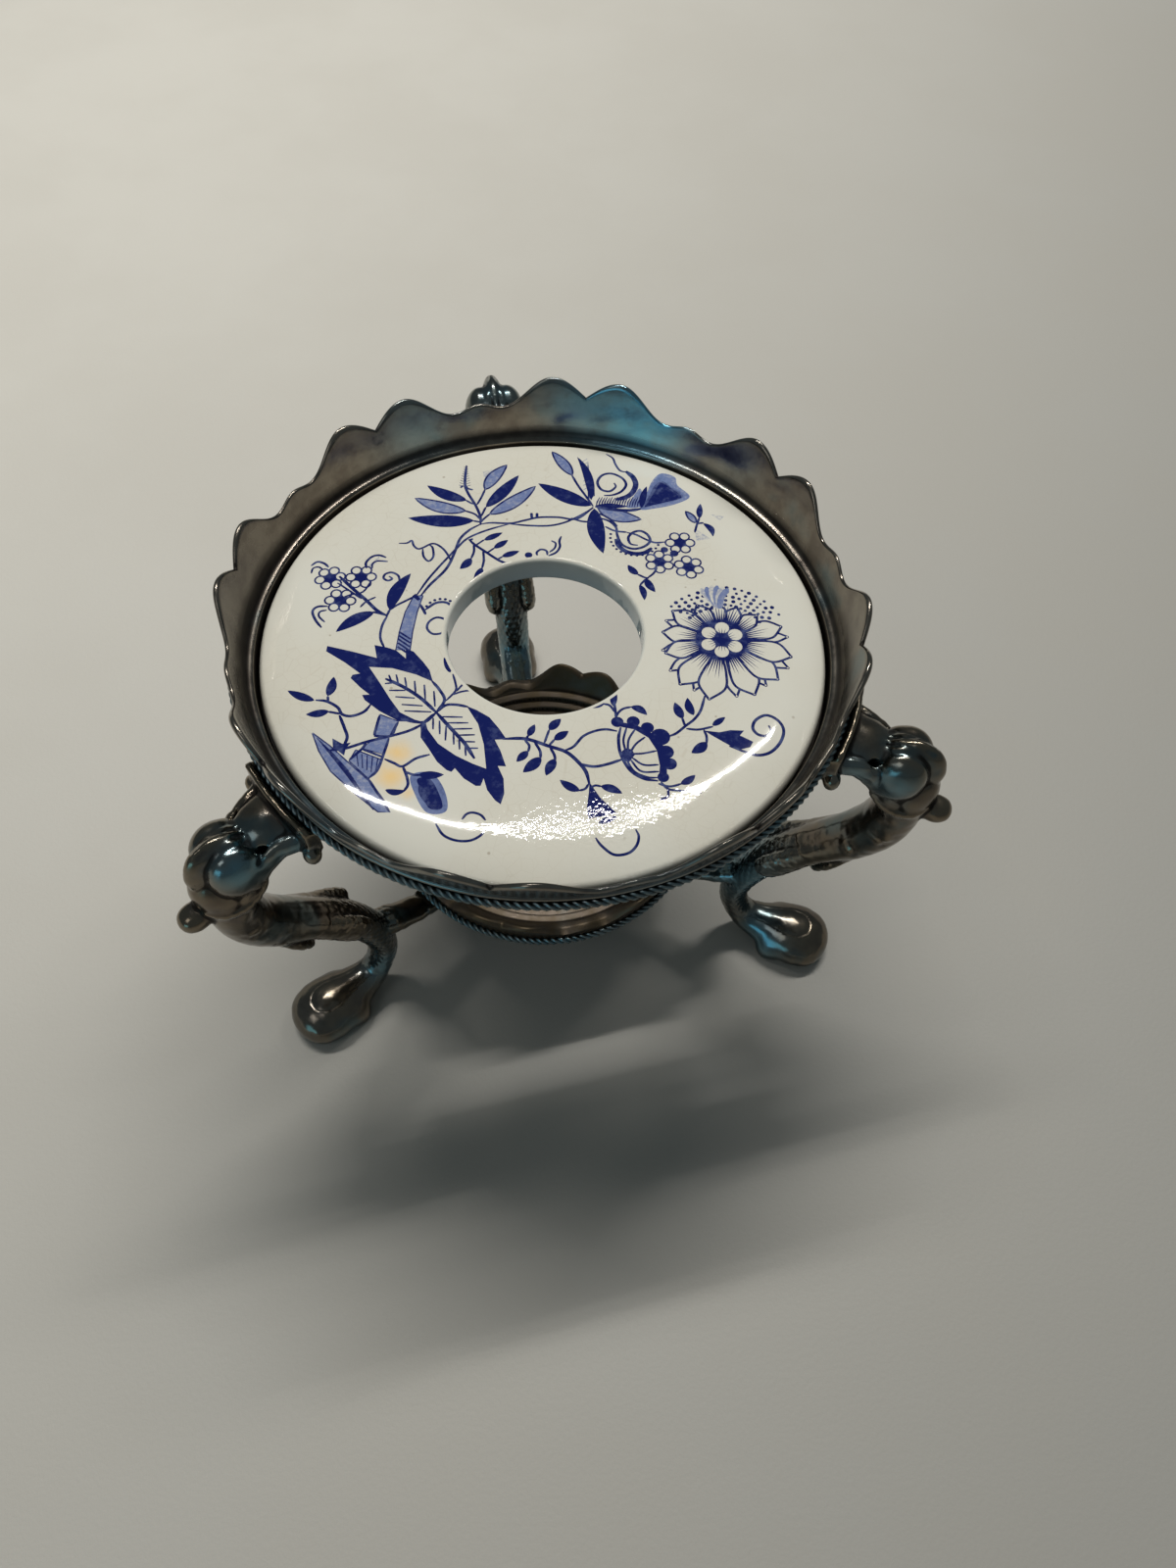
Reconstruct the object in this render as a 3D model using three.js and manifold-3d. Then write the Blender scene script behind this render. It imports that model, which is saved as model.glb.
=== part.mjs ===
// Food warmer: a cast metal stand on three figure legs. Its scalloped collar holds a loose
// porcelain disc with a round hole, over a scalloped dish for a tealight candle.
// Millimetres, +Z up, origin on the vertical axis at table level.
import * as THREE from 'three';
import { mergeVertices } from 'three/addons/utils/BufferGeometryUtils.js';
import Module from 'manifold-3d';

// Clearances
const SEAT_CLEARANCE = 0.3; // between pieces that rest on each other
const SCREW_CLEARANCE = 0.15; // round a screw and under its head

// Porcelain disc
const DISC_RADIUS = 56;
const DISC_THICKNESS = 5.6;
const DISC_HOLE_RADIUS = 19.4;
const DISC_EDGE_ROUNDING = 2;
const DISC_HOLE_ROUNDING = 0.8;
const DISC_SIDE_CLEARANCE = 0.7; // the disc drops in and turns freely

// Collar, with heights taken from the seat that carries the disc
const SEAT_HEIGHT = 87.1;
const LEDGE_WIDTH = 6.7;
const LEDGE_THICKNESS = 1.3;
const COLLAR_FOOT_WALL = 0.6;
const COLLAR_BAND_RISE = 4.7; // inner band beside the disc
const COLLAR_BAND_WIDTH = 1.6;
const COLLAR_STEP_RISE = 6.9; // foot of the smooth inner flare
const COLLAR_STEP_WIDTH = 0.6;
const COLLAR_ROPE_WALL = 2.7; // from the disc's well out to the rope's seat
const COLLAR_ROPE_RISE = 7.3;
const COLLAR_MOULDING_WIDTH = 0.9; // small moulding above the rope
const COLLAR_FLARE_RISE = 10.9; // foot of the outer flare
const COLLAR_LIP_RISE = 17.7;
const COLLAR_LIP_WALL = 5.2; // from the disc's well out to the middle of the lip
const COLLAR_LIP_THICKNESS = 1.6;
const COLLAR_SCALLOPS = 8;
const COLLAR_NOTCH_AZIMUTH = -8.5;
const COLLAR_NOTCH_DEPTH = 3.9;
const COLLAR_HOLLOW_DEPTH = 6;
const COLLAR_BUMP_DEPTH = 4.9;
const COLLAR_LOBE_ANGLE = 7; // from a notch to the top of the lobe beside it
const COLLAR_HOLLOW_ANGLE = 17.5;

// Candle dish, with heights taken from its underside
const DISH_BASE_HEIGHT = 23;
const DISH_BASE_RADIUS = 33;
const DISH_FLOOR_RADIUS = 26.5;
const DISH_FLOOR_THICKNESS = 3;
const DISH_STEP_HEIGHT = 1.3;
const DISH_STEP_WIDTH = 2.2;
const DISH_STEPS = 3;
const DISH_ROPE_WALL = 36;
const DISH_ROPE_RISE = 5.6;
const DISH_FLARE_RISE = 7.2;
const DISH_LIP_RISE = 12.8;
const DISH_LIP_RADIUS = 37.6;
const DISH_LIP_THICKNESS = 1.4;
const DISH_SCALLOPS = 6;
const DISH_NOTCH_AZIMUTH = 74.7;
const DISH_NOTCH_DEPTH = 1.8;
const DISH_HOLLOW_DEPTH = 5;
const DISH_BUMP_DEPTH = 4;
const DISH_LOBE_ANGLE = 8.6;
const DISH_HOLLOW_ANGLE = 22.5;

// Twisted rope rings round the collar and the dish
const ROPE_HALF_WIDTH = 0.62;
const ROPE_HALF_HEIGHT = 0.85;

// Legs
const LEG_COUNT = 3;
const LEG_AZIMUTH = -20.7;
const LEG_NAMES = ['leg_right', 'leg_rear', 'leg_left'];
const PLATE_RADIUS = 10.3; // round plate against the collar's outside
const PLATE_THICKNESS = 3.2; // outside the rope's seat
const PLATE_CENTRE_RISE = 6.3; // above the seat
const PLATE_TOP_RISE = 8.4;
const TAB_LENGTH = 7.6; // inwards under the ledge
const TAB_WIDTH = 10;
const TAB_THICKNESS = 2.5;
const STRUT_HALF_WIDTH = 3.2;
const STRUT_HALF_THICKNESS = 2;
const STRUT_TAB_LENGTH = 9; // inwards under the dish
const STRUT_TAB_RADIUS = 4.6;
const STRUT_TAB_THICKNESS = 3;
const STRUT_RISE = 6.2; // from its tab up to its root on the ankle
const STRUT_ROOT_INSET = 8.8; // from the rope's seat on the collar in to its root

// Limbs of a leg. Each station is [out, side, rise, half depth, half width], where out starts at
// the rope's seat on the collar. A low limb rises from the table, a high one from the disc's seat.
const LOW_BODY = [
  [3.0, 0, 4.6, 3.0, 3.6],
  [-3.4, 0, 5.6, 3.0, 3.4],
  [-7.4, 0, 9.2, 2.9, 3.1],
  [-9.4, 0, 14.8, 3.0, 3.2],
  [-9.2, 0, 21.0, 3.1, 3.4],
  [-7.0, 0, 29.5, 3.4, 3.7],
  [-3.6, 0, 37.4, 3.6, 3.8],
];
const HIGH_BODY = [
  [1.0, 0, -42.5, 3.7, 4.0],
  [6.6, 0, -36.1, 4.1, 4.5],
  [12.2, 0, -29.3, 4.6, 5.2],
  [15.8, 0, -21.9, 4.8, 5.5],
  [17.0, 0, -14.5, 4.7, 5.4],
  [16.8, 0, -8.1, 4.4, 5.2],
];
const SHOULDER_BLOCK = [
  [2.0, 0, 1.9, 3.6, 5.8],
  [5.4, 0, 1.7, 3.4, 5.3],
  [8.8, 0, 0.7, 3.4, 5.0],
  [12.0, 0, -1.5, 3.4, 4.8],
];
const SIDE_STRAP = [
  [3.0, 6.8, 1.5, 2.2, 1.4],
  [5.8, 5.8, 1.1, 2.3, 1.3],
  [8.6, 5.5, -0.5, 2.3, 1.2],
  [11.2, 5.3, -3.1, 2.2, 1.2],
  [13.8, 5.0, -6.7, 2.1, 1.3],
  [15.8, 4.7, -10.7, 2.0, 1.4],
  [17.0, 4.3, -14.7, 1.9, 1.5],
];
const TAIL_PETAL = [
  [9.6, 3.6, -32.1, 1.6, 1.5],
  [3.6, 3.8, -38.7, 2.1, 1.7],
  [-1.0, 4.3, -44.1, 2.7, 1.8],
  [-3.8, 4.6, -47.5, 2.8, 1.8],
];
const FOOT_PAD = [
  [-5.8, 0, 6.0, 3.0, 3.2],
  [-1.4, 0, 4.8, 4.2, 4.2],
  [3.2, 0, 3.8, 5.4, 5.8],
  [7.6, 0, 3.4, 6.0, 7.4],
  [11.2, 0, 3.0, 5.7, 7.6],
];

// Rounded lumps of a leg. Each has its middle, its half sizes [out, side, up] and a tilt in degrees.
const FOOT_TOE = { middle: [11.2, 0, 3.0], half: [5.8, 7.6, 5.8], tilt: 0 };
const FOOT_LOBE = { middle: [3.4, 4.8, 1.6], half: [3.4, 3.0, 4.2], tilt: 0 };
const TAIL_FIN = { middle: [11.2, 0, -39.9], half: [9.8, 3.8, 1.6], tilt: 64 };
const HEAD = { middle: [14.0, 0, -1.3], half: [7.0, 5.6, 8.6], tilt: -12 };
const THROAT = { middle: [18.0, 0, -6.9], half: [5.0, 5.0, 6.4], tilt: 0 };
const CHEEK = { middle: [14.6, 2.6, -0.9], half: [5.8, 3.9, 7.4], tilt: -14 };
const MUZZLE = { middle: [24.0, 0.85, -12.3], half: [3.6, 2.1, 2.8], tilt: 0 };

// Screws: countersunk ones down through the ledge, pan-headed ones up through the struts
const SCREW_RADIUS = 1.2;
const COLLAR_SCREW_HEAD_RADIUS = 2.1;
const COLLAR_SCREW_INSET = 3.1; // from the disc's well in to the screw
const DISH_SCREW_HEAD_RADIUS = 2.3;
const DISH_SCREW_HEAD_HEIGHT = 1.4;
const DISH_SCREW_BITE = 2.4; // depth in the dish's base
const SCREW_SLOT_WIDTH = 0.6;
const SCREW_SLOT_DEPTH = 0.5;

// Finish
const METAL_COLOUR = 0x6b665f;
const WORN_METAL_COLOUR = 0x7d776d;
const SCREW_COLOUR = 0x8a7a58;
const PORCELAIN_COLOUR = 0xf1efe8;

// Smoothness
const DISC_SEGMENTS = 60;
const ROPE_SEGMENTS = 60;
const ROPE_SIDES = 6;
const ROUNDING_STEPS = 3;
const SCREW_SIDES = 12;
const LIMB_SIDES = 10;
const BALL_SIDES = 12;
const BALL_ROWS = 8;

const radians = THREE.MathUtils.degToRad;
const wasm = await Module();
wasm.setup();

// Places that several pieces share
const wellRadius = DISC_RADIUS + DISC_SIDE_CLEARANCE;
const ledgeUnderside = SEAT_HEIGHT - LEDGE_THICKNESS;
const ropeSeatRadius = wellRadius + COLLAR_ROPE_WALL;
const dishTop = DISH_BASE_HEIGHT + DISH_LIP_RISE;
const tabTop = ledgeUnderside - SEAT_CLEARANCE;
const tabUnderside = tabTop - TAB_THICKNESS;
const collarScrewRadius = wellRadius - COLLAR_SCREW_INSET;
const strutTabTop = DISH_BASE_HEIGHT - SEAT_CLEARANCE;
const strutTabUnderside = strutTabTop - STRUT_TAB_THICKNESS;
const dishScrewRadius = DISH_BASE_RADIUS - STRUT_TAB_RADIUS + SEAT_CLEARANCE;

function toSolid(geometry) {
  const bare = geometry.clone();
  bare.deleteAttribute('normal');
  bare.deleteAttribute('uv');
  const merged = mergeVertices(bare);
  const vertProperties = new Float32Array(merged.attributes.position.array);
  const triVerts = new Uint32Array(merged.index.array);
  return new wasm.Manifold(new wasm.Mesh({ numProp: 3, vertProperties, triVerts }));
}

function toGeometry(solid) {
  const mesh = solid.getMesh();
  const geometry = new THREE.BufferGeometry();
  geometry.setAttribute('position', new THREE.BufferAttribute(mesh.vertProperties, 3));
  geometry.setIndex(new THREE.BufferAttribute(mesh.triVerts, 1));
  geometry.computeVertexNormals();
  return geometry;
}

function unite(solids) {
  return solids.reduce((whole, piece) => whole.add(piece));
}

function indexedGeometry(positions, indices) {
  const geometry = new THREE.BufferGeometry();
  geometry.setAttribute('position', new THREE.Float32BufferAttribute(positions, 3));
  geometry.setIndex(indices);
  geometry.computeVertexNormals();
  return geometry;
}

function evenAzimuths(segments) {
  return Array.from({ length: segments }, (_, i) => (i * 360) / segments);
}

// Sweeps a closed outline of (radius, height) points round the vertical axis, through a list of
// azimuths in degrees. The outline runs anticlockwise with the radius to the right, and may
// change with the azimuth.
function revolve(outlineAt, azimuths) {
  const positions = [];
  const indices = [];
  const count = outlineAt(azimuths[0]).length;
  for (let i = 0; i < azimuths.length; i += 1) {
    const turn = radians(azimuths[i]);
    for (const [radius, height] of outlineAt(azimuths[i])) {
      positions.push(radius * Math.cos(turn), radius * Math.sin(turn), height);
    }
    const next = (i + 1) % azimuths.length;
    for (let j = 0; j < count; j += 1) {
      const k = (j + 1) % count;
      const corners = [i * count + j, next * count + j, next * count + k, i * count + k];
      indices.push(corners[0], corners[1], corners[2], corners[0], corners[2], corners[3]);
    }
  }
  return indexedGeometry(positions, indices);
}

// Points of a rounded outline corner, from one direction to another round a centre.
function arc(radius, height, size, fromDegrees, toDegrees, steps = ROUNDING_STEPS) {
  const points = [];
  for (let i = 0; i <= steps; i += 1) {
    const angle = radians(fromDegrees + ((toDegrees - fromDegrees) * i) / steps);
    points.push([radius + size * Math.cos(angle), height + size * Math.sin(angle)]);
  }
  return points;
}

// Turned solid on the vertical axis. The outline of (radius, height) runs from bottom to top.
function turned(outline, segments) {
  const points = outline.map(([radius, height]) => new THREE.Vector2(radius, height));
  return new THREE.LatheGeometry(points, segments).rotateX(Math.PI / 2);
}

function cylinder(radius, low, high, segments = SCREW_SIDES) {
  return turned([[0, low], [radius, low], [radius, high], [0, high]], segments);
}

function box(low, high) {
  const size = high.clone().sub(low);
  const middle = high.clone().add(low).multiplyScalar(0.5);
  return new THREE.BoxGeometry(size.x, size.y, size.z).translate(middle.x, middle.y, middle.z);
}

// Ellipsoid leaning in its upright plane: a positive tilt raises its outer end.
function ellipsoid(centre, radii, tilt) {
  const geometry = new THREE.SphereGeometry(1, BALL_SIDES, BALL_ROWS).rotateX(Math.PI / 2);
  geometry.scale(...radii).rotateY(-radians(tilt));
  return geometry.translate(...centre);
}

// Rounded limb along a smooth spine. Each station is [x, y, z, half depth, half width]: the
// depth lies across the spine in the upright plane and the width lies sideways.
function limb(stations, steps, sides = LIMB_SIDES) {
  const spine = new THREE.CatmullRomCurve3(stations.map(([x, y, z]) => new THREE.Vector3(x, y, z)));
  const girth = new THREE.CatmullRomCurve3(
    stations.map(([, , , depth, width]) => new THREE.Vector3(depth, width, 0)),
  );
  const rings = [];
  const addRing = (at, shift, scale) => {
    const along = spine.getTangent(at).normalize();
    const side = new THREE.Vector3(0, 1, 0).addScaledVector(along, -along.y).normalize();
    const across = new THREE.Vector3().crossVectors(side, along);
    const size = girth.getPoint(at);
    const centre = spine.getPoint(at).addScaledVector(along, shift * size.x);
    rings.push({ centre, across, side, depth: size.x * scale, width: size.y * scale });
  };
  addRing(0, -0.75, 0.65);
  for (let i = 0; i <= steps; i += 1) {
    addRing(i / steps, 0, 1);
  }
  addRing(1, 0.75, 0.65);
  const positions = [];
  for (const ring of rings) {
    for (let j = 0; j < sides; j += 1) {
      const angle = (j / sides) * 2 * Math.PI;
      const point = ring.centre.clone();
      point.addScaledVector(ring.across, ring.depth * Math.cos(angle));
      point.addScaledVector(ring.side, ring.width * Math.sin(angle));
      positions.push(point.x, point.y, point.z);
    }
  }
  const first = rings[0].centre;
  const last = rings[rings.length - 1].centre;
  positions.push(first.x, first.y, first.z, last.x, last.y, last.z);
  const indices = [];
  const startPole = rings.length * sides;
  const endRing = (rings.length - 1) * sides;
  for (let j = 0; j < sides; j += 1) {
    const k = (j + 1) % sides;
    for (let i = 0; i < rings.length - 1; i += 1) {
      const row = i * sides;
      indices.push(row + j, row + k, row + sides + k, row + j, row + sides + k, row + sides + j);
    }
    indices.push(startPole, k, j, startPole + 1, endRing + j, endRing + k);
  }
  return indexedGeometry(positions, indices);
}

// Azimuths that catch every notch, lobe, hollow and bump of a scalloped lip.
function scallopAzimuths(scallops) {
  const unit = 360 / scallops.count;
  const half = [
    0,
    scallops.lobeAngle / 2,
    scallops.lobeAngle,
    (scallops.lobeAngle + scallops.hollowAngle) / 2,
    scallops.hollowAngle,
    unit / 2,
  ];
  const whole = [...half, ...half.slice(1, -1).reverse().map((angle) => unit - angle)];
  const notches = Array.from({ length: scallops.count }, (_, i) => scallops.notchAzimuth + i * unit);
  return notches.flatMap((notch) => whole.map((angle) => notch + angle));
}

// Depth of a scalloped lip below its lobes. Each unit has a sharp notch between two lobes, and
// a low bump between two hollows.
function scallopDepth(azimuth, scallops) {
  const unit = 360 / scallops.count;
  const turn = azimuth - scallops.notchAzimuth;
  const fromNotch = Math.abs(THREE.MathUtils.euclideanModulo(turn + unit / 2, unit) - unit / 2);
  const ease = (from, to, share) => from + ((to - from) * (1 - Math.cos(Math.PI * share))) / 2;
  if (fromNotch < scallops.lobeAngle) {
    return scallops.notchDepth * (1 - Math.sin((Math.PI / 2) * (fromNotch / scallops.lobeAngle)));
  }
  if (fromNotch < scallops.hollowAngle) {
    const share = (fromNotch - scallops.lobeAngle) / (scallops.hollowAngle - scallops.lobeAngle);
    return ease(0, scallops.hollowDepth, share);
  }
  const share = (fromNotch - scallops.hollowAngle) / (unit / 2 - scallops.hollowAngle);
  return ease(scallops.hollowDepth, scallops.bumpDepth, share);
}

const collarScallops = {
  count: COLLAR_SCALLOPS,
  notchAzimuth: COLLAR_NOTCH_AZIMUTH,
  notchDepth: COLLAR_NOTCH_DEPTH,
  hollowDepth: COLLAR_HOLLOW_DEPTH,
  bumpDepth: COLLAR_BUMP_DEPTH,
  lobeAngle: COLLAR_LOBE_ANGLE,
  hollowAngle: COLLAR_HOLLOW_ANGLE,
};

const dishScallops = {
  count: DISH_SCALLOPS,
  notchAzimuth: DISH_NOTCH_AZIMUTH,
  notchDepth: DISH_NOTCH_DEPTH,
  hollowDepth: DISH_HOLLOW_DEPTH,
  bumpDepth: DISH_BUMP_DEPTH,
  lobeAngle: DISH_LOBE_ANGLE,
  hollowAngle: DISH_HOLLOW_ANGLE,
};

// Point on the straight line through two [radius, height] points, at a height.
function onLine([radiusA, heightA], [radiusB, heightB], height) {
  return [radiusA + ((radiusB - radiusA) * (height - heightA)) / (heightB - heightA), height];
}

// Lip outline between an outer and an inner flare line, its top at the given height.
function lipPoints(outerFoot, outerTip, innerFoot, innerTip, top, thickness) {
  const shoulder = top - thickness * 0.35;
  const outer = onLine(outerFoot, outerTip, shoulder);
  const inner = onLine(innerFoot, innerTip, shoulder);
  return [outer, [(outer[0] + inner[0]) / 2, top], inner];
}

// Outer wall of the collar from its foot up to the flare. A clearance grows it outwards.
function collarOuterWall(clearance = 0) {
  const ropeLow = SEAT_HEIGHT + COLLAR_ROPE_RISE - ROPE_HALF_HEIGHT - SEAT_CLEARANCE;
  const ropeHigh = SEAT_HEIGHT + COLLAR_ROPE_RISE + ROPE_HALF_HEIGHT + SEAT_CLEARANCE;
  const moulding = ropeSeatRadius + COLLAR_MOULDING_WIDTH;
  const flareFoot = SEAT_HEIGHT + COLLAR_FLARE_RISE;
  const groove = (ropeHigh + 3 * flareFoot) / 4;
  return [
    [wellRadius + COLLAR_FOOT_WALL + clearance, ledgeUnderside - clearance],
    [ropeSeatRadius + ROPE_HALF_WIDTH + clearance, ropeLow],
    [ropeSeatRadius + clearance, ropeLow],
    [ropeSeatRadius + clearance, ropeHigh],
    [moulding + clearance, ropeHigh],
    [moulding + clearance, (ropeHigh + flareFoot) / 2],
    [moulding - COLLAR_MOULDING_WIDTH / 2 + clearance, groove],
    [moulding + clearance, flareFoot],
  ];
}

function collarOutline(azimuth) {
  const top = SEAT_HEIGHT + COLLAR_LIP_RISE;
  const lipRadius = wellRadius + COLLAR_LIP_WALL;
  const wall = collarOuterWall();
  const band = wellRadius + COLLAR_BAND_WIDTH;
  const bandTop = SEAT_HEIGHT + COLLAR_BAND_RISE;
  const innerFoot = [band + COLLAR_STEP_WIDTH, SEAT_HEIGHT + COLLAR_STEP_RISE];
  const lip = lipPoints(
    wall[wall.length - 1],
    [lipRadius + COLLAR_LIP_THICKNESS / 2, top],
    innerFoot,
    [lipRadius - COLLAR_LIP_THICKNESS / 2, top],
    top - scallopDepth(azimuth, collarScallops),
    COLLAR_LIP_THICKNESS,
  );
  return [
    [wellRadius - LEDGE_WIDTH, ledgeUnderside],
    ...wall,
    ...lip,
    innerFoot,
    [band, bandTop],
    [wellRadius, bandTop - SEAT_CLEARANCE],
    [wellRadius, SEAT_HEIGHT],
    [wellRadius - LEDGE_WIDTH, SEAT_HEIGHT],
  ];
}

function dishOuterWall() {
  const ropeHeight = DISH_BASE_HEIGHT + DISH_ROPE_RISE;
  const ropeLow = ropeHeight - ROPE_HALF_HEIGHT - SEAT_CLEARANCE;
  return [
    [DISH_BASE_RADIUS, DISH_BASE_HEIGHT],
    [(DISH_BASE_RADIUS + 2 * DISH_ROPE_WALL) / 3, (DISH_BASE_HEIGHT + ropeLow) / 2],
    [DISH_ROPE_WALL, ropeLow],
    [DISH_ROPE_WALL, DISH_BASE_HEIGHT + DISH_FLARE_RISE],
  ];
}

function dishOutline(azimuth) {
  const floor = DISH_BASE_HEIGHT + DISH_FLOOR_THICKNESS;
  const steps = [];
  for (let i = 1; i <= DISH_STEPS; i += 1) {
    const radius = DISH_FLOOR_RADIUS + (i - 1) * DISH_STEP_WIDTH;
    steps.unshift(
      [radius + DISH_STEP_WIDTH - SEAT_CLEARANCE, floor + i * DISH_STEP_HEIGHT],
      [radius, floor + i * DISH_STEP_HEIGHT],
      [radius, floor + (i - 1) * DISH_STEP_HEIGHT],
    );
  }
  const wall = dishOuterWall();
  const innerFoot = steps[0];
  const lip = lipPoints(
    wall[wall.length - 1],
    [DISH_LIP_RADIUS + DISH_LIP_THICKNESS / 2, dishTop],
    innerFoot,
    [DISH_LIP_RADIUS - DISH_LIP_THICKNESS / 2, dishTop],
    dishTop - scallopDepth(azimuth, dishScallops),
    DISH_LIP_THICKNESS,
  );
  return [...wall, ...lip, ...steps];
}

function discOutline() {
  const low = SEAT_HEIGHT + SEAT_CLEARANCE;
  const high = low + DISC_THICKNESS;
  const rim = DISC_RADIUS - DISC_EDGE_ROUNDING;
  const bore = DISC_HOLE_RADIUS + DISC_HOLE_ROUNDING;
  const foot = DISC_RADIUS - DISC_HOLE_ROUNDING;
  return [
    ...arc(foot, low + DISC_HOLE_ROUNDING, DISC_HOLE_ROUNDING, -90, 0, 1),
    ...arc(rim, high - DISC_EDGE_ROUNDING, DISC_EDGE_ROUNDING, 0, 90),
    ...arc(bore, high - DISC_HOLE_ROUNDING, DISC_HOLE_ROUNDING, 90, 180, 2),
    ...arc(bore, low + DISC_HOLE_ROUNDING, DISC_HOLE_ROUNDING, 180, 270, 1),
  ];
}

function ropeRing(seatRadius, height) {
  const radius = seatRadius + SEAT_CLEARANCE + ROPE_HALF_WIDTH;
  const outline = [];
  for (let i = 0; i < ROPE_SIDES; i += 1) {
    const angle = (i / ROPE_SIDES) * 2 * Math.PI;
    const across = ROPE_HALF_WIDTH * Math.cos(angle);
    outline.push([radius + across, height + ROPE_HALF_HEIGHT * Math.sin(angle)]);
  }
  return revolve(() => outline, evenAzimuths(ROPE_SEGMENTS));
}

// Azimuth of each leg, in radians. Every leg is drawn with X outwards from the axis.
const legAzimuths = LEG_NAMES.map((_, i) => radians(LEG_AZIMUTH + (i * 360) / LEG_COUNT));

function countersunk(headRadius, shankRadius, low, high) {
  const neck = high - (headRadius - shankRadius);
  const outline = [[0, low], [shankRadius, low], [shankRadius, neck], [headRadius, high], [0, high]];
  return turned(outline, SCREW_SIDES);
}

// Cut for a collar screw: the countersink in the ledge and the hole down through the tab.
function collarScrewCut() {
  const head = COLLAR_SCREW_HEAD_RADIUS + SCREW_CLEARANCE;
  const shank = SCREW_RADIUS + SCREW_CLEARANCE;
  const cone = toSolid(countersunk(head, shank, tabUnderside - 1, SEAT_HEIGHT));
  const mouth = toSolid(cylinder(head, SEAT_HEIGHT - SCREW_CLEARANCE, SEAT_HEIGHT + 1));
  return toGeometry(cone.add(mouth)).translate(collarScrewRadius, 0, 0);
}

// Cut for a dish screw: the hole up through the strut's tab and the blind hole in the dish.
function dishScrewCut() {
  const top = DISH_BASE_HEIGHT + DISH_SCREW_BITE + SCREW_CLEARANCE;
  const cut = cylinder(SCREW_RADIUS + SCREW_CLEARANCE, strutTabUnderside - 1, top);
  return cut.translate(dishScrewRadius, 0, 0);
}

function slot(reach, low, high) {
  const half = SCREW_SLOT_WIDTH / 2;
  return toSolid(box(new THREE.Vector3(-reach, -half, low), new THREE.Vector3(reach, half, high)));
}

function cutAtLegs(solid, cut) {
  return legAzimuths.reduce((rest, azimuth) => rest.subtract(toSolid(cut.clone().rotateZ(azimuth))), solid);
}

function makeCollar() {
  const collar = toSolid(revolve(collarOutline, scallopAzimuths(collarScallops)));
  return toGeometry(cutAtLegs(collar, collarScrewCut()));
}

function makeDish() {
  const innerRadius = DISH_FLOOR_RADIUS / 2;
  const floorTop = DISH_BASE_HEIGHT + DISH_FLOOR_THICKNESS;
  const outlineAt = (azimuth) => [
    [innerRadius, DISH_BASE_HEIGHT],
    ...dishOutline(azimuth),
    [innerRadius, floorTop],
  ];
  const rim = toSolid(revolve(outlineAt, scallopAzimuths(dishScallops)));
  const floor = toSolid(cylinder(innerRadius + 2, DISH_BASE_HEIGHT, floorTop, DISH_SCALLOPS * 4));
  return toGeometry(cutAtLegs(rim.add(floor), dishScrewCut()));
}

// Plate against the collar's outside: a stretch of ring cut to a round pad.
function makePlate() {
  const outside = ropeSeatRadius + PLATE_THICKNESS;
  const top = SEAT_HEIGHT + PLATE_TOP_RISE;
  const inside = wellRadius - LEDGE_WIDTH;
  const outline = [
    [inside, tabUnderside],
    [outside - 1, tabUnderside],
    [outside, tabTop],
    [outside, top - 1],
    [outside - 1, top],
    [inside, top],
  ];
  const ring = toSolid(revolve(() => outline, evenAzimuths(ROPE_SEGMENTS)));
  const depth = PLATE_THICKNESS * 4;
  const pad = cylinder(PLATE_RADIUS, -depth / 2, depth / 2, 24).rotateY(Math.PI / 2);
  return ring.intersect(toSolid(pad.translate(ropeSeatRadius, 0, SEAT_HEIGHT + PLATE_CENTRE_RISE)));
}

// A leg's station or middle put in place above the table or above the disc's seat, on one side.
const onTable = ([out, side, rise, ...size], flip = 1) => [ropeSeatRadius + out, flip * side, rise, ...size];
const onSeat = ([out, side, rise, ...size], flip) => onTable([out, side, SEAT_HEIGHT + rise, ...size], flip);

const lump = ({ middle, half, tilt }, place, flip) => ellipsoid(place(middle, flip), half, tilt);

const bothSides = (make) => [make(1), make(-1)];

// The figure: body and tail, shoulder block, straps, head with two cheeks, muzzle, petals and fin.
function makeFigure() {
  const low = LOW_BODY.map((station) => onTable(station));
  const high = HIGH_BODY.map((station) => onSeat(station));
  return [
    limb([...low, ...high], 20),
    limb(SHOULDER_BLOCK.map((station) => onSeat(station)), 4),
    ...bothSides((flip) => limb(SIDE_STRAP.map((station) => onSeat(station, flip)), 8)),
    ...bothSides((flip) => limb(TAIL_PETAL.map((station) => onSeat(station, flip)), 5)),
    lump(TAIL_FIN, onSeat),
    lump(HEAD, onSeat),
    lump(THROAT, onSeat),
    ...bothSides((flip) => lump(CHEEK, onSeat, flip)),
    ...bothSides((flip) => lump(MUZZLE, onSeat, flip)),
  ];
}

// Egg-shaped foot with a lobe on each side. It is cut flat at table level with the rest of the leg.
function makeFoot() {
  return [
    limb(FOOT_PAD.map((station) => onTable(station)), 7),
    lump(FOOT_TOE, onTable),
    ...bothSides((flip) => lump(FOOT_LOBE, onTable, flip)),
  ];
}

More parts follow.
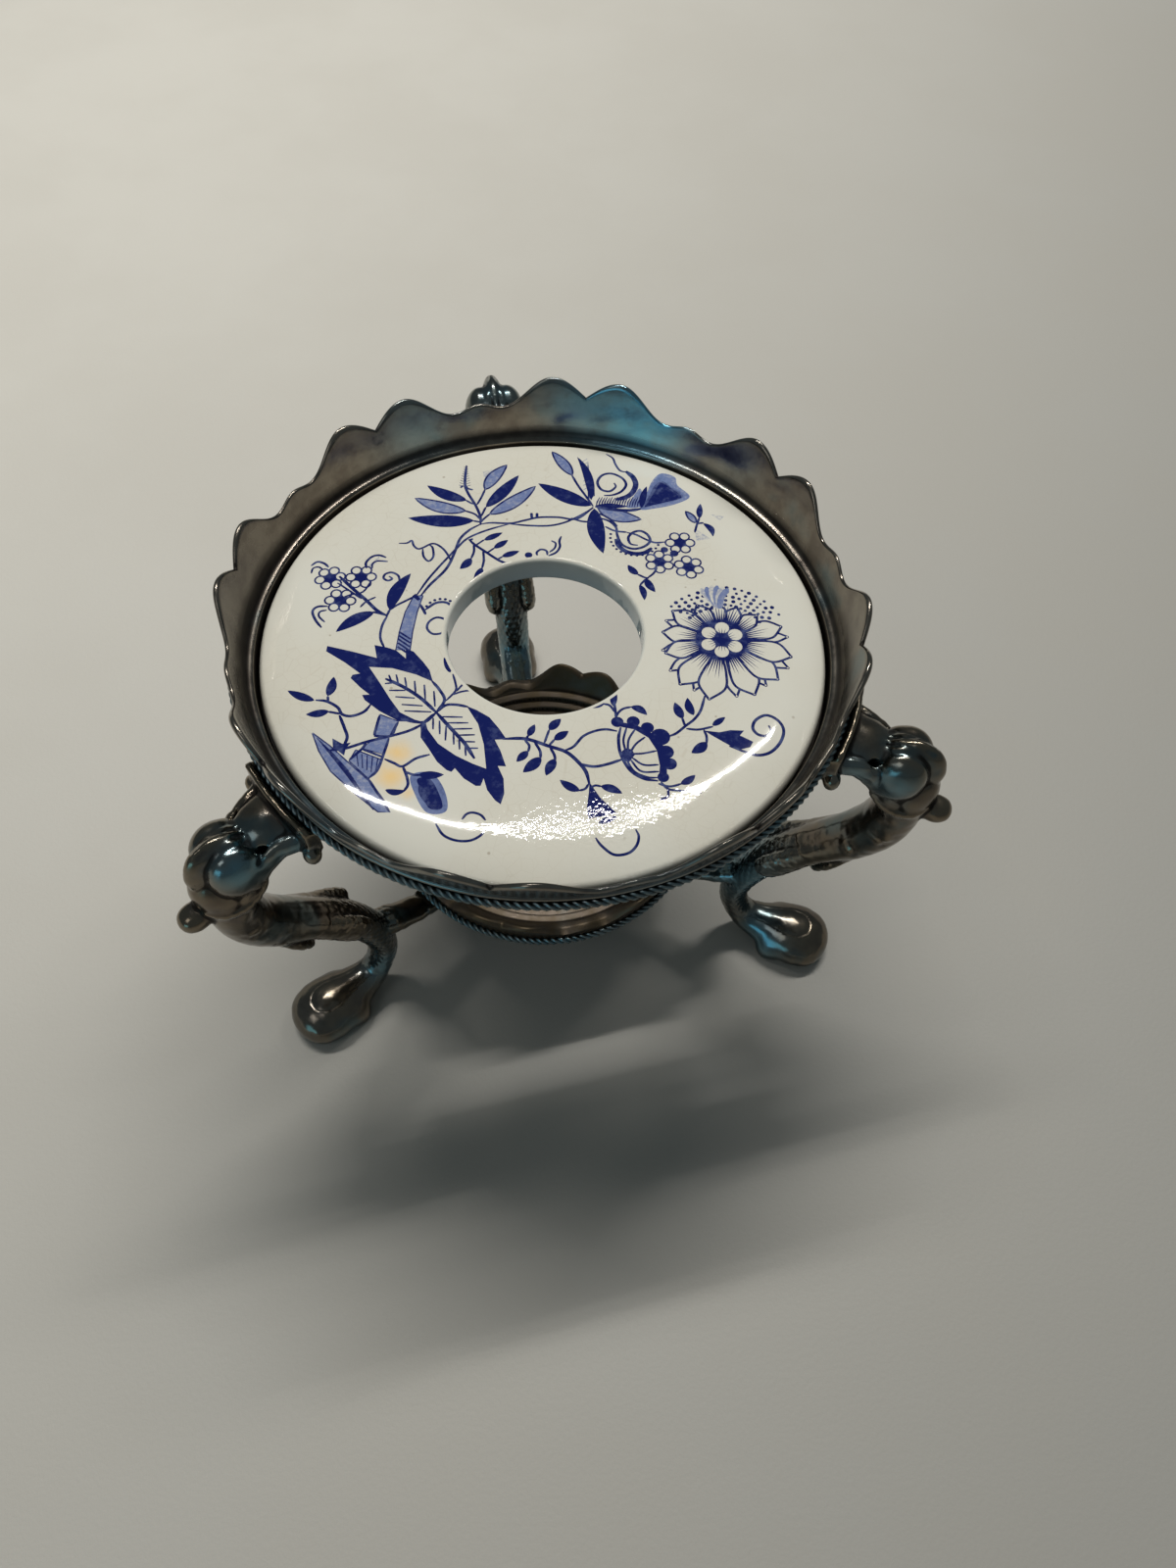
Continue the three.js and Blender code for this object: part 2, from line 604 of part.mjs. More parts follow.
// Strut from the ankle down to a tab under the dish.
function makeStrut() {
  const height = (strutTabTop + strutTabUnderside) / 2;
  const root = ropeSeatRadius - STRUT_ROOT_INSET;
  const size = [STRUT_HALF_THICKNESS, STRUT_HALF_WIDTH];
  const bar = limb([
    [root, 0, height + STRUT_RISE, ...size],
    [(root + DISH_ROPE_WALL) / 2, 0, height + STRUT_RISE / 2, ...size],
    [DISH_ROPE_WALL + 1, 0, height, ...size],
    [dishScrewRadius + STRUT_TAB_LENGTH / 2, 0, height, STRUT_TAB_THICKNESS / 2, STRUT_HALF_WIDTH],
  ], 4);
  const bridge = box(
    new THREE.Vector3(dishScrewRadius, -STRUT_HALF_WIDTH, strutTabUnderside),
    new THREE.Vector3(dishScrewRadius + STRUT_TAB_LENGTH, STRUT_HALF_WIDTH, strutTabTop),
  );
  const pad = cylinder(STRUT_TAB_RADIUS, strutTabUnderside, strutTabTop, 16);
  return [bar, bridge, pad.translate(dishScrewRadius, 0, 0)];
}

function makeTab() {
  return box(
    new THREE.Vector3(wellRadius - TAB_LENGTH, -TAB_WIDTH / 2, tabUnderside),
    new THREE.Vector3(ropeSeatRadius + 1, TAB_WIDTH / 2, tabTop),
  );
}

// Space that the collar and its rope ring take up against a leg, their clearance included.
function collarSpace() {
  const inside = wellRadius - LEDGE_WIDTH - 2;
  const [foot, shelf] = collarOuterWall(SEAT_CLEARANCE);
  const ropeOutside = ropeSeatRadius + 2 * ROPE_HALF_WIDTH + 2 * SEAT_CLEARANCE;
  const top = SEAT_HEIGHT + COLLAR_FLARE_RISE;
  const ring = [[inside, foot[1]], foot, shelf, [ropeOutside, shelf[1]], [ropeOutside, top], [inside, top]];
  return toSolid(revolve(() => ring, evenAzimuths(ROPE_SEGMENTS)));
}

// Space that the dish's base takes up over a strut, its clearance included.
function dishSpace() {
  const clear = ([radius, height]) => [radius + SEAT_CLEARANCE, height - SEAT_CLEARANCE];
  const outline = dishOuterWall().map(clear);
  const top = outline[outline.length - 1][1];
  const inside = dishScrewRadius - STRUT_TAB_RADIUS - 1;
  const ring = [[inside, outline[0][1]], ...outline, [inside, top]];
  return toSolid(revolve(() => ring, evenAzimuths(ROPE_SEGMENTS)));
}

function makeLeg() {
  const parts = [...makeFigure(), ...makeFoot(), ...makeStrut(), makeTab()];
  const figure = unite([makePlate(), ...parts.map(toSolid)]);
  const reach = 3 * DISC_RADIUS;
  const table = box(new THREE.Vector3(-reach, -reach, -reach), new THREE.Vector3(reach, reach, 0));
  const cuts = [
    toSolid(table),
    collarSpace(),
    dishSpace(),
    toSolid(collarScrewCut()),
    toSolid(dishScrewCut()),
  ];
  return toGeometry(cuts.reduce((rest, cut) => rest.subtract(cut), figure));
}

function makeCollarScrew() {
  const top = SEAT_HEIGHT - SCREW_CLEARANCE;
  const screw = toSolid(countersunk(COLLAR_SCREW_HEAD_RADIUS, SCREW_RADIUS, tabUnderside, top));
  const cut = slot(COLLAR_SCREW_HEAD_RADIUS * 2, top - SCREW_SLOT_DEPTH, top + 1);
  return toGeometry(screw.subtract(cut)).translate(collarScrewRadius, 0, 0);
}

function makeDishScrew() {
  const headTop = strutTabUnderside - SCREW_CLEARANCE;
  const headLow = headTop - DISH_SCREW_HEAD_HEIGHT;
  const tip = DISH_BASE_HEIGHT + DISH_SCREW_BITE;
  const rounding = DISH_SCREW_HEAD_HEIGHT / 2;
  const outline = [
    [0, headLow],
    [DISH_SCREW_HEAD_RADIUS - rounding, headLow],
    [DISH_SCREW_HEAD_RADIUS, headLow + rounding],
    [DISH_SCREW_HEAD_RADIUS, headTop],
    [SCREW_RADIUS, headTop],
    [SCREW_RADIUS, tip],
    [0, tip],
  ];
  const screw = toSolid(turned(outline, SCREW_SIDES));
  const cut = slot(DISH_SCREW_HEAD_RADIUS * 2, headLow - 1, headLow + SCREW_SLOT_DEPTH);
  return toGeometry(screw.subtract(cut)).translate(dishScrewRadius, 0, 0);
}

const metal = (color, roughness) => new THREE.MeshStandardMaterial({ color, roughness, metalness: 1 });
const porcelain = new THREE.MeshStandardMaterial({ color: PORCELAIN_COLOUR, roughness: 0.12, metalness: 0 });

const warmer = new THREE.Group();

function addPiece(name, geometry, material, parent = warmer) {
  const mesh = new THREE.Mesh(geometry, material);
  mesh.name = name;
  parent.add(mesh);
}

addPiece('porcelain_disc', revolve(discOutline, evenAzimuths(DISC_SEGMENTS)), porcelain);
addPiece('collar', makeCollar(), metal(WORN_METAL_COLOUR, 0.28));
const collarRope = ropeRing(ropeSeatRadius, SEAT_HEIGHT + COLLAR_ROPE_RISE);
addPiece('collar_rope_ring', collarRope, metal(METAL_COLOUR, 0.32));
addPiece('candle_dish', makeDish(), metal(WORN_METAL_COLOUR, 0.28));
const dishRope = ropeRing(DISH_ROPE_WALL, DISH_BASE_HEIGHT + DISH_ROPE_RISE);
addPiece('dish_rope_ring', dishRope, metal(METAL_COLOUR, 0.32));

const legGeometry = makeLeg();
const collarScrewGeometry = makeCollarScrew();
const dishScrewGeometry = makeDishScrew();
LEG_NAMES.forEach((name, i) => {
  const place = new THREE.Group();
  place.rotation.z = legAzimuths[i];
  addPiece(name, legGeometry, metal(METAL_COLOUR, 0.32), place);
  addPiece(name.replace('leg', 'collar_screw'), collarScrewGeometry, metal(SCREW_COLOUR, 0.4), place);
  addPiece(name.replace('leg', 'dish_screw'), dishScrewGeometry, metal(SCREW_COLOUR, 0.4), place);
  warmer.add(place);
});

export default warmer;
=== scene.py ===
"""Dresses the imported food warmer: a printed porcelain disc in a tarnished cast stand.

Lengths in the code are millimetres where no comment says metres, and they become metres where a
mesh is made.
"""
import math

import bmesh
import bpy
import numpy as np
from mathutils import Matrix, Vector, geometry


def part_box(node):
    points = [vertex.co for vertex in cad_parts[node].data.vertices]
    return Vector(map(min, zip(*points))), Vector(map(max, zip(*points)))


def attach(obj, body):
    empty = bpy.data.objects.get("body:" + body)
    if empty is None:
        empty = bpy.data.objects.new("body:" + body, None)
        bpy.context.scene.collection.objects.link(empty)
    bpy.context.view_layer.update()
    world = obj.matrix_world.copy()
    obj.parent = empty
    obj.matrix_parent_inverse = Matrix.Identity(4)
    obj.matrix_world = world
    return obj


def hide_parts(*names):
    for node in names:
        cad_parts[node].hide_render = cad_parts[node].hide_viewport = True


bl_info = {
    "name": "Food warmer",
    "version": (1, 0, 0),
    "blender": (4, 5, 0),
    "location": "View3D > Sidebar > Warmer",
    "description": "Dresses the packed food warmer with its porcelain, cast metal and studio",
    "category": "Object",
}

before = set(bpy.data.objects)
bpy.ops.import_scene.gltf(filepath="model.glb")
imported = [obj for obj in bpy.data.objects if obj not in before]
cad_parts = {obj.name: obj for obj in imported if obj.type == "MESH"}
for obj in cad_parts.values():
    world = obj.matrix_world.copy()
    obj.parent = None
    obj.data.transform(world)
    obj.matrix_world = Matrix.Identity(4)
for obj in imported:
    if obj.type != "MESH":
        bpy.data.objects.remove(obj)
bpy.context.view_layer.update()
MM = 0.001


def box_mm(node):
    """Lowest and highest corner of a CAD node in millimetres."""
    low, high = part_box(node)
    return np.array(low) / MM, np.array(high) / MM


DISC_LOW, DISC_HIGH = box_mm("porcelain_disc")
COLLAR_LOW, COLLAR_HIGH = box_mm("collar")
DISH_LOW, DISH_HIGH = box_mm("candle_dish")


# Sizes and colours that a user may change

def length(name, description, millimetres):
    """A length that the panel shows, given in millimetres."""
    return bpy.props.FloatProperty(
        name=name, description=description, default=millimetres * MM, min=0, unit="LENGTH", precision=5
    )


def colour(name, description, red, green, blue):
    """A colour that the panel shows."""
    return bpy.props.FloatVectorProperty(
        name=name, description=description, default=(red, green, blue), subtype="COLOR", min=0, max=1
    )


class WarmerSizes(bpy.types.PropertyGroup):
    hole_radius: length("Hole radius", "Radius of the hole through the disc", 19.4)
    glaze_fall: length("Glaze fall", "How far the glaze dips from the middle of the disc to its rim", 1.7)
    collar_lip: length("Collar lip", "Thickness of the collar's scalloped lip", 1.5)
    collar_scallops: bpy.props.IntProperty(
        name="Collar scallops", description="Scallop units round the collar", default=8, min=3, max=24
    )
    collar_rope_strands: bpy.props.IntProperty(
        name="Collar rope strands", description="Slanting strands round the collar", default=228, min=12
    )
    dish_lip: length("Dish lip", "Thickness of the dish's scalloped lip", 1.3)
    dish_scallops: bpy.props.IntProperty(
        name="Dish scallops", description="Scallop units round the dish", default=6, min=3, max=24
    )
    dish_rope_strands: bpy.props.IntProperty(
        name="Dish rope strands", description="Slanting strands round the dish", default=140, min=12
    )
    rope_girth: length("Rope girth", "Radius of the twisted rope rings", 0.9)
    leg_grain: length("Leg grain", "Spacing of the leg mesh", 0.4)
    scale_pitch: length("Scale pitch", "Length of one scale on the tails", 1.5)


class WarmerColours(bpy.types.PropertyGroup):
    glaze: colour("Glaze", "White of the porcelain glaze", 0.51, 0.505, 0.452)
    # Painted shade with a blue tint of light: the hole's wall turns darker and bluer towards its depth.
    body: colour("Fired edge", "Thinner glaze inside the hole", 0.42, 0.5, 0.54)
    ink: colour("Cobalt", "Blue of the print where it is thickest", 0.003, 0.007, 0.075)
    stain: colour("Stain", "Ochre stain in the glaze", 0.62, 0.45, 0.22)
    silver: colour("Worn silver", "Metal where hands have rubbed it", 0.25, 0.222, 0.185)
    tarnish: colour("Tarnish", "Brown-grey of the tarnished metal", 0.12, 0.1, 0.085)
    # The first of these two colours is random blue-green tarnish; the second is a painted reflection of
    # blue-green light, laid on where the pieces ask for it.
    bloom: colour("Tarnish bloom", "Blue-green bloom on the metal", 0.07, 0.15, 0.18)
    film: colour("Tarnish film", "Blue-green film where the bloom is thickest", 0.13, 0.37, 0.5)
    cast: colour("Cast metal", "Darker metal of the legs where hands have rubbed it", 0.21, 0.172, 0.125)
    dish: colour("Dish metal", "Golden brown of the heated dish", 0.115, 0.088, 0.052)
    # Painted shade and dark deposit: this colour darkens the hollows where shade falls, and the random pits.
    recess: colour("Recess", "Dark deposit in the hollows", 0.012, 0.01, 0.01)
    brass: colour("Screws", "Brass of the screws", 0.32, 0.22, 0.1)
    floor: colour("Floor", "Pale stone of the table", 0.56, 0.543, 0.495)


def sizes():
    return bpy.context.scene.warmer_sizes


def tints():
    return bpy.context.scene.warmer_colours


def mm(value):
    """Metres as millimetres."""
    return value / MM


# Meshes

def add_object(name, data):
    """A new object in the scene, at the origin."""
    item = bpy.data.objects.new(name, data)
    bpy.context.scene.collection.objects.link(item)
    return item


def new_piece(name, points, faces, material):
    """A smooth mesh object at the origin, made from points in millimetres."""
    mesh = bpy.data.meshes.new(name)
    mesh.from_pydata((np.asarray(points, float) * MM).tolist(), [], np.asarray(faces).tolist())
    mesh.validate()
    mesh.shade_smooth()
    mesh.materials.append(material)
    return add_object(name, mesh)


def points_of(piece):
    """Every vertex of a piece in millimetres."""
    return np.array([tuple(vertex.co) for vertex in piece.data.vertices]) / MM


def paint(piece, name, values):
    """Keeps one number for each vertex as a mesh attribute."""
    layer = piece.data.attributes.new(name, "FLOAT", "POINT")
    layer.data.foreach_set("value", np.asarray(values, np.float32))


def soft_spots(points, spots):
    """Sum of soft round spots, each with its x, y, z, reach and strength."""
    return sum(s * np.exp(-((points - place) ** 2).sum(axis=1) / reach**2) for *place, reach, s in spots)


def paint_bloom(piece, points, spots):
    """Painted blue-green reflection in soft round spots."""
    paint(piece, "bloom", np.clip(soft_spots(points, spots), 0, 1))


def seat_piece(piece, body, slot, *nodes):
    """Hands a piece to its body, in the place of its plain solid; the slot is not used."""
    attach(piece, body)
    if nodes:
        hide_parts(*nodes)


LARGEST_ROUNDING = 0.45


def rounded(corners, radii):
    """Replaces each corner of closed outlines, shape (outlines, corners, 2), with a short curve."""
    before = np.roll(corners, 1, axis=1) - corners
    after = np.roll(corners, -1, axis=1) - corners
    to_before = np.linalg.norm(before, axis=2, keepdims=True)
    to_after = np.linalg.norm(after, axis=2, keepdims=True)
    reach = np.minimum(radii[None, :, None], LARGEST_ROUNDING * np.minimum(to_before, to_after))
    start = corners + before / to_before * reach
    end = corners + after / to_after * reach
    rows = []
    for share in (0, 0.5, 1):
        rows.append((1 - share) ** 2 * start + 2 * share * (1 - share) * corners + share**2 * end)
    stacked = np.stack(rows, axis=2)
    return stacked.reshape(len(corners), -1, 2)


def lathe(outlines, azimuths):
    """Points and quads of closed outlines (radius, height), one for each azimuth in degrees."""
    count, corners = outlines.shape[:2]
    turn = np.radians(azimuths)[:, None]
    points = np.stack(
        [outlines[..., 0] * np.cos(turn), outlines[..., 0] * np.sin(turn), outlines[..., 1]], axis=2
    )
    i = np.arange(count)[:, None]
    j = np.arange(corners)[None, :]
    next_i = (i + 1) % count
    next_j = (j + 1) % corners
    faces = np.stack(
        [i * corners + j, i * corners + next_j, next_i * corners + next_j, next_i * corners + j], axis=2
    )
    return points.reshape(-1, 3), faces.reshape(-1, 4)[:, ::-1]


def scallop_depth(azimuths, count, first, notch, hollow, bump, lobe_angle, hollow_angle):
    """Depth of a scalloped lip below its lobes. Each unit has a sharp notch between two lobes,
    and a low bump between two hollows."""
    unit = 360 / count
    turn = np.abs((np.asarray(azimuths) - first + unit / 2) % unit - unit / 2)
    near = notch * (1 - np.sin(np.pi / 2 * np.clip(turn / lobe_angle, 0, 1)))
    share = np.clip((turn - lobe_angle) / (hollow_angle - lobe_angle), 0, 1)
    middle = hollow * (1 - np.cos(np.pi * share)) / 2
    share = np.clip((turn - hollow_angle) / (unit / 2 - hollow_angle), 0, 1)
    far = (bump - hollow) * (1 - np.cos(np.pi * share)) / 2
    return near + middle + far


# Odd factors that scatter the corners of the noise's grid
HASH_STEPS = (374761393, 668265263, 2147483647)
HASH_MIX = 1274126177


def smooth_noise(points, scale, seed):
    """Even value noise between -1 and 1 on points in millimetres."""
    grid = np.asarray(points) / scale
    cell = np.floor(grid).astype(np.int64)
    part = grid - cell
    part = part * part * (3 - 2 * part)
    total = np.zeros(len(grid))
    for corner in range(8):
        offset = np.array([corner & 1, corner >> 1 & 1, corner >> 2 & 1])
        mixed = (cell + offset) @ np.array(HASH_STEPS) + seed * HASH_MIX
        mixed = (mixed ^ (mixed >> 13)) * HASH_MIX
        value = ((mixed ^ (mixed >> 16)) & 0xFFFF) / 32767.5 - 1
        weight = np.prod(np.where(offset, part, 1 - part), axis=1)
        total += value * weight
    return total


# Node trees

class Tree:
    """A short way to write a node tree."""

    def __init__(self, tree):
        self.tree = tree

    def add(self, kind, settings=None, **inputs):
        """A new node with its settings, and with values or links for its inputs."""
        node = self.tree.nodes.new(kind)
        for key, value in (settings or {}).items():
            setattr(node, key, value)
        for key, value in inputs.items():
            self.put(node, key.replace("_", " "), value)
        return node

    def put(self, node, name, value):
        """Sets or links an input, given by its name or its number."""
        socket = node.inputs[int(name)] if name.isdigit() else node.inputs[name]
        if isinstance(value, bpy.types.NodeSocket):
            self.tree.links.new(value, socket)
        elif isinstance(value, bpy.types.Node):
            self.tree.links.new(value.outputs[0], socket)
        else:
            socket.default_value = value

    def maths(self, operation, first, second=0.0, clamp=False):
        node = self.add("ShaderNodeMath", {"operation": operation, "use_clamp": clamp})
        self.put(node, "0", first)
        self.put(node, "1", second)
        return node.outputs[0]


# Materials

class Nodes(Tree):
    """A short way to write a material."""

    def __init__(self, name):
        self.material = bpy.data.materials.new(name)
        self.material.use_nodes = True
        super().__init__(self.material.node_tree)
        self.tree.nodes.clear()
        self.output = self.add("ShaderNodeOutputMaterial")

    def place(self):
        return self.add("ShaderNodeTexCoord").outputs["Object"]

    def attribute(self, name):
        return self.add("ShaderNodeAttribute", {"attribute_name": name}).outputs["Fac"]

    def noise(self, vector, scale, detail=3.0, roughness=0.55):
        texture = "ShaderNodeTexNoise"
        node = self.add(texture, Vector=vector, Scale=scale, Detail=detail, Roughness=roughness)
        return node.outputs["Fac"]

    def remap(self, value, low, high, to_low=0.0, to_high=1.0):
        node = self.add("ShaderNodeMapRange", {"interpolation_type": "SMOOTHSTEP"}, Value=value)
        ends = {"From Min": low, "From Max": high, "To Min": to_low, "To Max": to_high}
        for name, number in ends.items():
            node.inputs[name].default_value = number
        return node.outputs["Result"]

    def mix(self, share, first, second):
        node = self.add("ShaderNodeMix", {"data_type": "RGBA"})
        self.put(node, "0", share)
        self.put(node, "6", first)
        self.put(node, "7", second)
        return node.outputs[2]

    def bump(self, height, strength, distance):
        return self.add("ShaderNodeBump", Height=height, Strength=strength, Distance=distance).outputs[0]

    def surface(self, tint, roughness, normal, metallic=0.0):
        """Ends the tree with one shader and gives back the material."""
        inputs = {"Base_Color": tint, "Metallic": metallic, "Roughness": roughness, "Normal": normal}
        self.put(self.output, "Surface", self.add("ShaderNodeBsdfPrincipled", **inputs))
        return self.material


def rgba(tint):
    """A colour with full opacity."""
    return (*tint, 1.0)


# Depths of the fine relief in metres
METAL_GRAIN, BRASS_GRAIN, GLAZE_RIPPLE, STONE_GRAIN = 0.0003, 0.0001, 0.001, 0.0004


def metal_material(name, rubbed, roughness, patches):
    """Tarnished silver in its own rubbed tint: brown-grey metal, random blue-green tarnish patches,
    a painted blue-green reflection, and hollows darkened by painted shade and dark deposit.
    A lower number for patches gives more of the blue-green patches."""
    colours = tints()
    n = Nodes(name)
    place = n.place()
    cloud = n.noise(place, 55, 3, 0.5)
    drift = n.noise(place, 190, 4, 0.6)
    grain = n.noise(place, 1500, 4, 0.7)
    tint = n.mix(n.remap(drift, 0.32, 0.7, 0.1, 0.8), rgba(colours.tarnish), rgba(rubbed))
    tint = n.mix(n.remap(cloud, patches, patches + 0.14, 0, 0.5), tint, rgba(colours.bloom))
    tint = n.mix(n.remap(n.attribute("wear"), 0.15, 0.9, 0, 0.8), tint, rgba(rubbed))
    tint = n.mix(n.remap(grain, 0.28, 0.38, 0.25, 0), tint, rgba(colours.recess))
    # Painted reflection: a blue-green tint laid on where each piece asks for it.
    film = n.maths("MULTIPLY", n.attribute("bloom"), n.remap(drift, 0.3, 0.6, 0.6, 1), clamp=True)
    tint = n.mix(film, tint, rgba(colours.film))
    # Painted shade and dark deposit: the hollows are mixed towards the dark recess colour and dulled.
    hollow = n.attribute("hollow")
    tint = n.mix(n.remap(hollow, 0.12, 0.8, 0, 0.85), tint, rgba(colours.recess))
    polish = n.remap(drift, 0.3, 0.7, roughness, roughness + 0.1)
    dull = n.maths("ADD", polish, n.remap(hollow, 0.1, 0.8, 0, 0.3))
    bumps = n.maths("ADD", n.maths("MULTIPLY", grain, 0.35), n.noise(place, 420, 3, 0.6))
    return n.surface(tint, dull, n.bump(bumps, 0.12, METAL_GRAIN), metallic=1.0)


def screw_material():
    """Brass, stained in patches."""
    colours = tints()
    n = Nodes("screw_brass")
    place = n.place()
    stain = n.noise(place, 700, 4, 0.6)
    tint = n.mix(n.remap(stain, 0.4, 0.65), rgba(colours.brass), rgba(colours.tarnish))
    return n.surface(tint, 0.36, n.bump(n.noise(place, 2500, 2), 0.2, BRASS_GRAIN), metallic=1.0)


# Tints in the glaze and of the thin ink
CREAM = (0.47, 0.445, 0.37, 1)
SPECK = (0.2, 0.16, 0.11, 1)
CRACKLE_LINE = (0.3, 0.24, 0.17, 1)
WASHED_INK = (0.115, 0.15, 0.29, 1)

# Ochre stains on the disc: x, y, reach and strength
STAINS = ((-27.1, -28.4, 5.0, 1.0), (-27.9, -33.6, 5.6, 1.0), (-24.5, -37.2, 3.4, 0.7))


def stained(n, place, tint):
    """The glaze's tint with its ochre stains."""
    for x, y, size, strength in STAINS:
        offset = n.add("ShaderNodeVectorMath", {"operation": "DISTANCE"})
        n.put(offset, "0", place)
        n.put(offset, "1", (x * MM, y * MM, DISC_HIGH[2] * MM))
        wander = n.maths("MULTIPLY", n.noise(place, 400), 2.2 * MM)
        reach = n.maths("ADD", offset.outputs["Value"], wander)
        tint = n.mix(n.remap(reach, 0.8 * MM, size * MM, strength, 0), tint, rgba(tints().stain))
    return tint


def porcelain_material():
    """White glaze over an underglaze print, whose strength is the vertex attribute 'ink'."""
    colours = tints()
    n = Nodes("glazed_porcelain")
    place = n.place()
    mottle = n.noise(place, 35, 3, 0.5)
    tint = stained(n, place, n.mix(n.remap(mottle, 0.3, 0.7, 0, 0.5), rgba(colours.glaze), CREAM))
    specks = n.add("ShaderNodeTexVoronoi", Vector=place, Scale=230.0)
    chosen = n.remap(n.noise(place, 90, 1), 0.56, 0.6)
    speck = n.maths("MULTIPLY", n.remap(specks.outputs["Distance"], 0.05, 0.09, 0.5, 0), chosen)
    tint = n.mix(speck, tint, SPECK)
    crackle = n.add("ShaderNodeTexVoronoi", {"feature": "DISTANCE_TO_EDGE"}, Vector=place, Scale=420.0)
    lines = n.remap(crackle.outputs["Distance"], 0.006, 0.03, 0.16, 0)
    tint = n.mix(n.maths("MULTIPLY", lines, n.remap(mottle, 0.4, 0.6)), tint, CRACKLE_LINE)
    # Painted shade with a blue tint of light on the hole's wall.
    tint = n.mix(n.attribute("hole"), tint, rgba(colours.body))
    ink = n.attribute("ink")
    flow = n.remap(n.noise(place, 500, 4, 0.65), 0.3, 0.7, 0.84, 1.1)
    brush = n.remap(n.noise(place, 1500, 2, 0.6), 0.35, 0.65, 0.3, 0)
    brush = n.maths("MULTIPLY", brush, n.maths("SUBTRACT", 1.0, ink))
    depth = n.maths("SUBTRACT", n.maths("MULTIPLY", ink, flow), brush, clamp=True)
    pale = n.mix(n.remap(depth, 0.0, 0.55), tint, WASHED_INK)
    printed = n.mix(n.remap(depth, 0.5, 0.98), pale, rgba(colours.ink))
    fine = n.maths("MULTIPLY", n.noise(place, 380, 2), 0.05)
    peel = n.maths("MULTIPLY", n.attribute("peel"), n.noise(place, 820, 2, 0.6))
    ripple = n.maths("ADD", n.maths("ADD", n.noise(place, 60, 2), fine), n.maths("MULTIPLY", peel, 1.6))
    return n.surface(printed, 0.05, n.bump(ripple, 0.07, GLAZE_RIPPLE))


# The print: leaves, strokes and blossoms on the disc, in millimetres from its middle

# Strength of the ink, how much wider than its row a stroke prints, and the print's shift on the disc
DARK, LINE, SOFT, HALF, WASH, FAINT, BARE = 1.0, 0.93, 0.8, 0.66, 0.56, 0.3, 0.0
STROKE_SPREAD = 1.25
PRINT_SHIFT = (0.7, 0.15)

# Leaves: tip x, tip y, base x, base y, width, sideways bend, tone
LEAVES = (
    (-29.6, 30.9, -15.6, 30.3, 3.5, 0.5, DARK), (-26.1, 40.8, -17.4, 36.2, 2.9, 0.6, DARK),
    (-6.4, 44.1, -13.3, 34.2, 2.9, -0.2, DARK), (-28.4, 36.8, -17.6, 33.1, 3.0, 0.7, WASH),
    (-2.8, 40.7, -12.4, 32.2, 3.0, -0.5, WASH), (-9.1, 47.4, -13.6, 39.6, 2.7, 0.4, WASH),
    (-9.6, 26.9, -13.4, 24.7, 1.5, 0, DARK), (-8.4, 24.8, -11.3, 22.4, 1.5, 0, DARK),
    (-6.0, 21.7, -9.6, 20.1, 1.5, 0, DARK), (-18.1, 16.6, -15.9, 19.6, 1.9, 0.2, DARK),
    (-15.2, 13.6, -13.6, 17.0, 1.6, 0.2, DARK), (-2.2, 41.6, 9.2, 35.0, 3.7, 0.3, DARK),
    (11.4, 21.2, 9.8, 34.2, 3.7, -0.5, DARK), (19.7, 31.1, 10.6, 34.4, 3.4, -0.7, WASH),
    (0.9, 52.4, 5.2, 44.3, 2.4, -0.1, WASH), (6.4, 50.6, 9.2, 36.6, 2.0, -0.9, DARK),
    (21.4, 41.2, 19.9, 34.4, 1.5, 0.2, DARK), (16.4, 18.1, 18.4, 15.4, 1.6, 0.2, DARK),
    (21.7, 10.7, 19.9, 14.4, 1.7, -0.2, DARK), (19.4, 8.5, 18.6, 12.7, 1.4, 0.3, DARK),
    (32.8, 36.2, 32.2, 31.6, 1.4, 0.1, LINE), (29.4, 33.6, 31.3, 30.3, 1.5, -0.1, WASH),
    (34.7, 26.3, 32.9, 30.2, 1.5, 0.7, LINE), (24.0, -17.0, 25.3, -20.8, 1.8, 0.1, DARK),
    (26.5, -15.9, 27.4, -20.0, 1.7, 0.3, DARK), (33.4, -20.4, 30.8, -22.4, 1.3, 0, DARK),
    (26.4, -28.6, 29.5, -26.2, 2.1, 0.2, DARK), (18.6, -20.0, 15.6, -18.0, 1.6, 0.4, DARK),
    (12.9, -14.3, 12.3, -18.0, 1.4, 0.2, DARK), (8.0, -18.3, 10.6, -17.2, 1.0, 0.1, DARK),
    (26.8, -33.4, 24.0, -35.4, 1.5, -0.2, DARK), (-2.6, -22.2, -3.8, -24.9, 1.4, 0, DARK),
    (2.3, -20.9, 0.1, -23.5, 1.8, 0.1, DARK), (3.7, -23.7, 1.0, -25.7, 1.7, 0, DARK),
    (-5.9, -30.6, -3.8, -28.2, 1.6, 0, DARK), (-4.7, -32.9, -1.4, -29.6, 2.2, 0.1, DARK),
    (-0.5, -33.6, 1.2, -29.9, 1.9, -0.1, DARK), (2.0, -34.5, 5.6, -36.9, 1.7, 0.2, DARK),
    (13.3, -37.4, 9.4, -35.8, 1.7, 0.2, DARK), (12.2, -42.2, 8.8, -43.6, 1.3, 0, DARK),
    (-28.0, 15.3, -31.7, 5.6, 2.9, 0.7, DARK), (-41.7, -0.2, -34.6, 5.0, 2.7, -0.5, DARK),
    (-49.5, -14.2, -44.1, -16.8, 1.7, 0.2, DARK), (-41.0, -11.2, -41.7, -15.8, 1.9, -0.2, DARK),
    (-45.4, -19.9, -41.1, -19.3, 1.7, 0.2, DARK), (-19.0, -33.4, -23.6, -33.4, 1.7, -0.1, DARK),
    (-25.6, -36.7, -29.4, -36.6, 1.3, -0.5, DARK), (-20.3, -6.4, -18.9, -10.1, 1.3, -0.1, LINE),
    (-21.8, -39.6, -23.0, -35.0, 2.6, 0.4, LINE), (-19.8, -39.2, -21.6, -36.2, 2.0, -0.3, LINE),
)

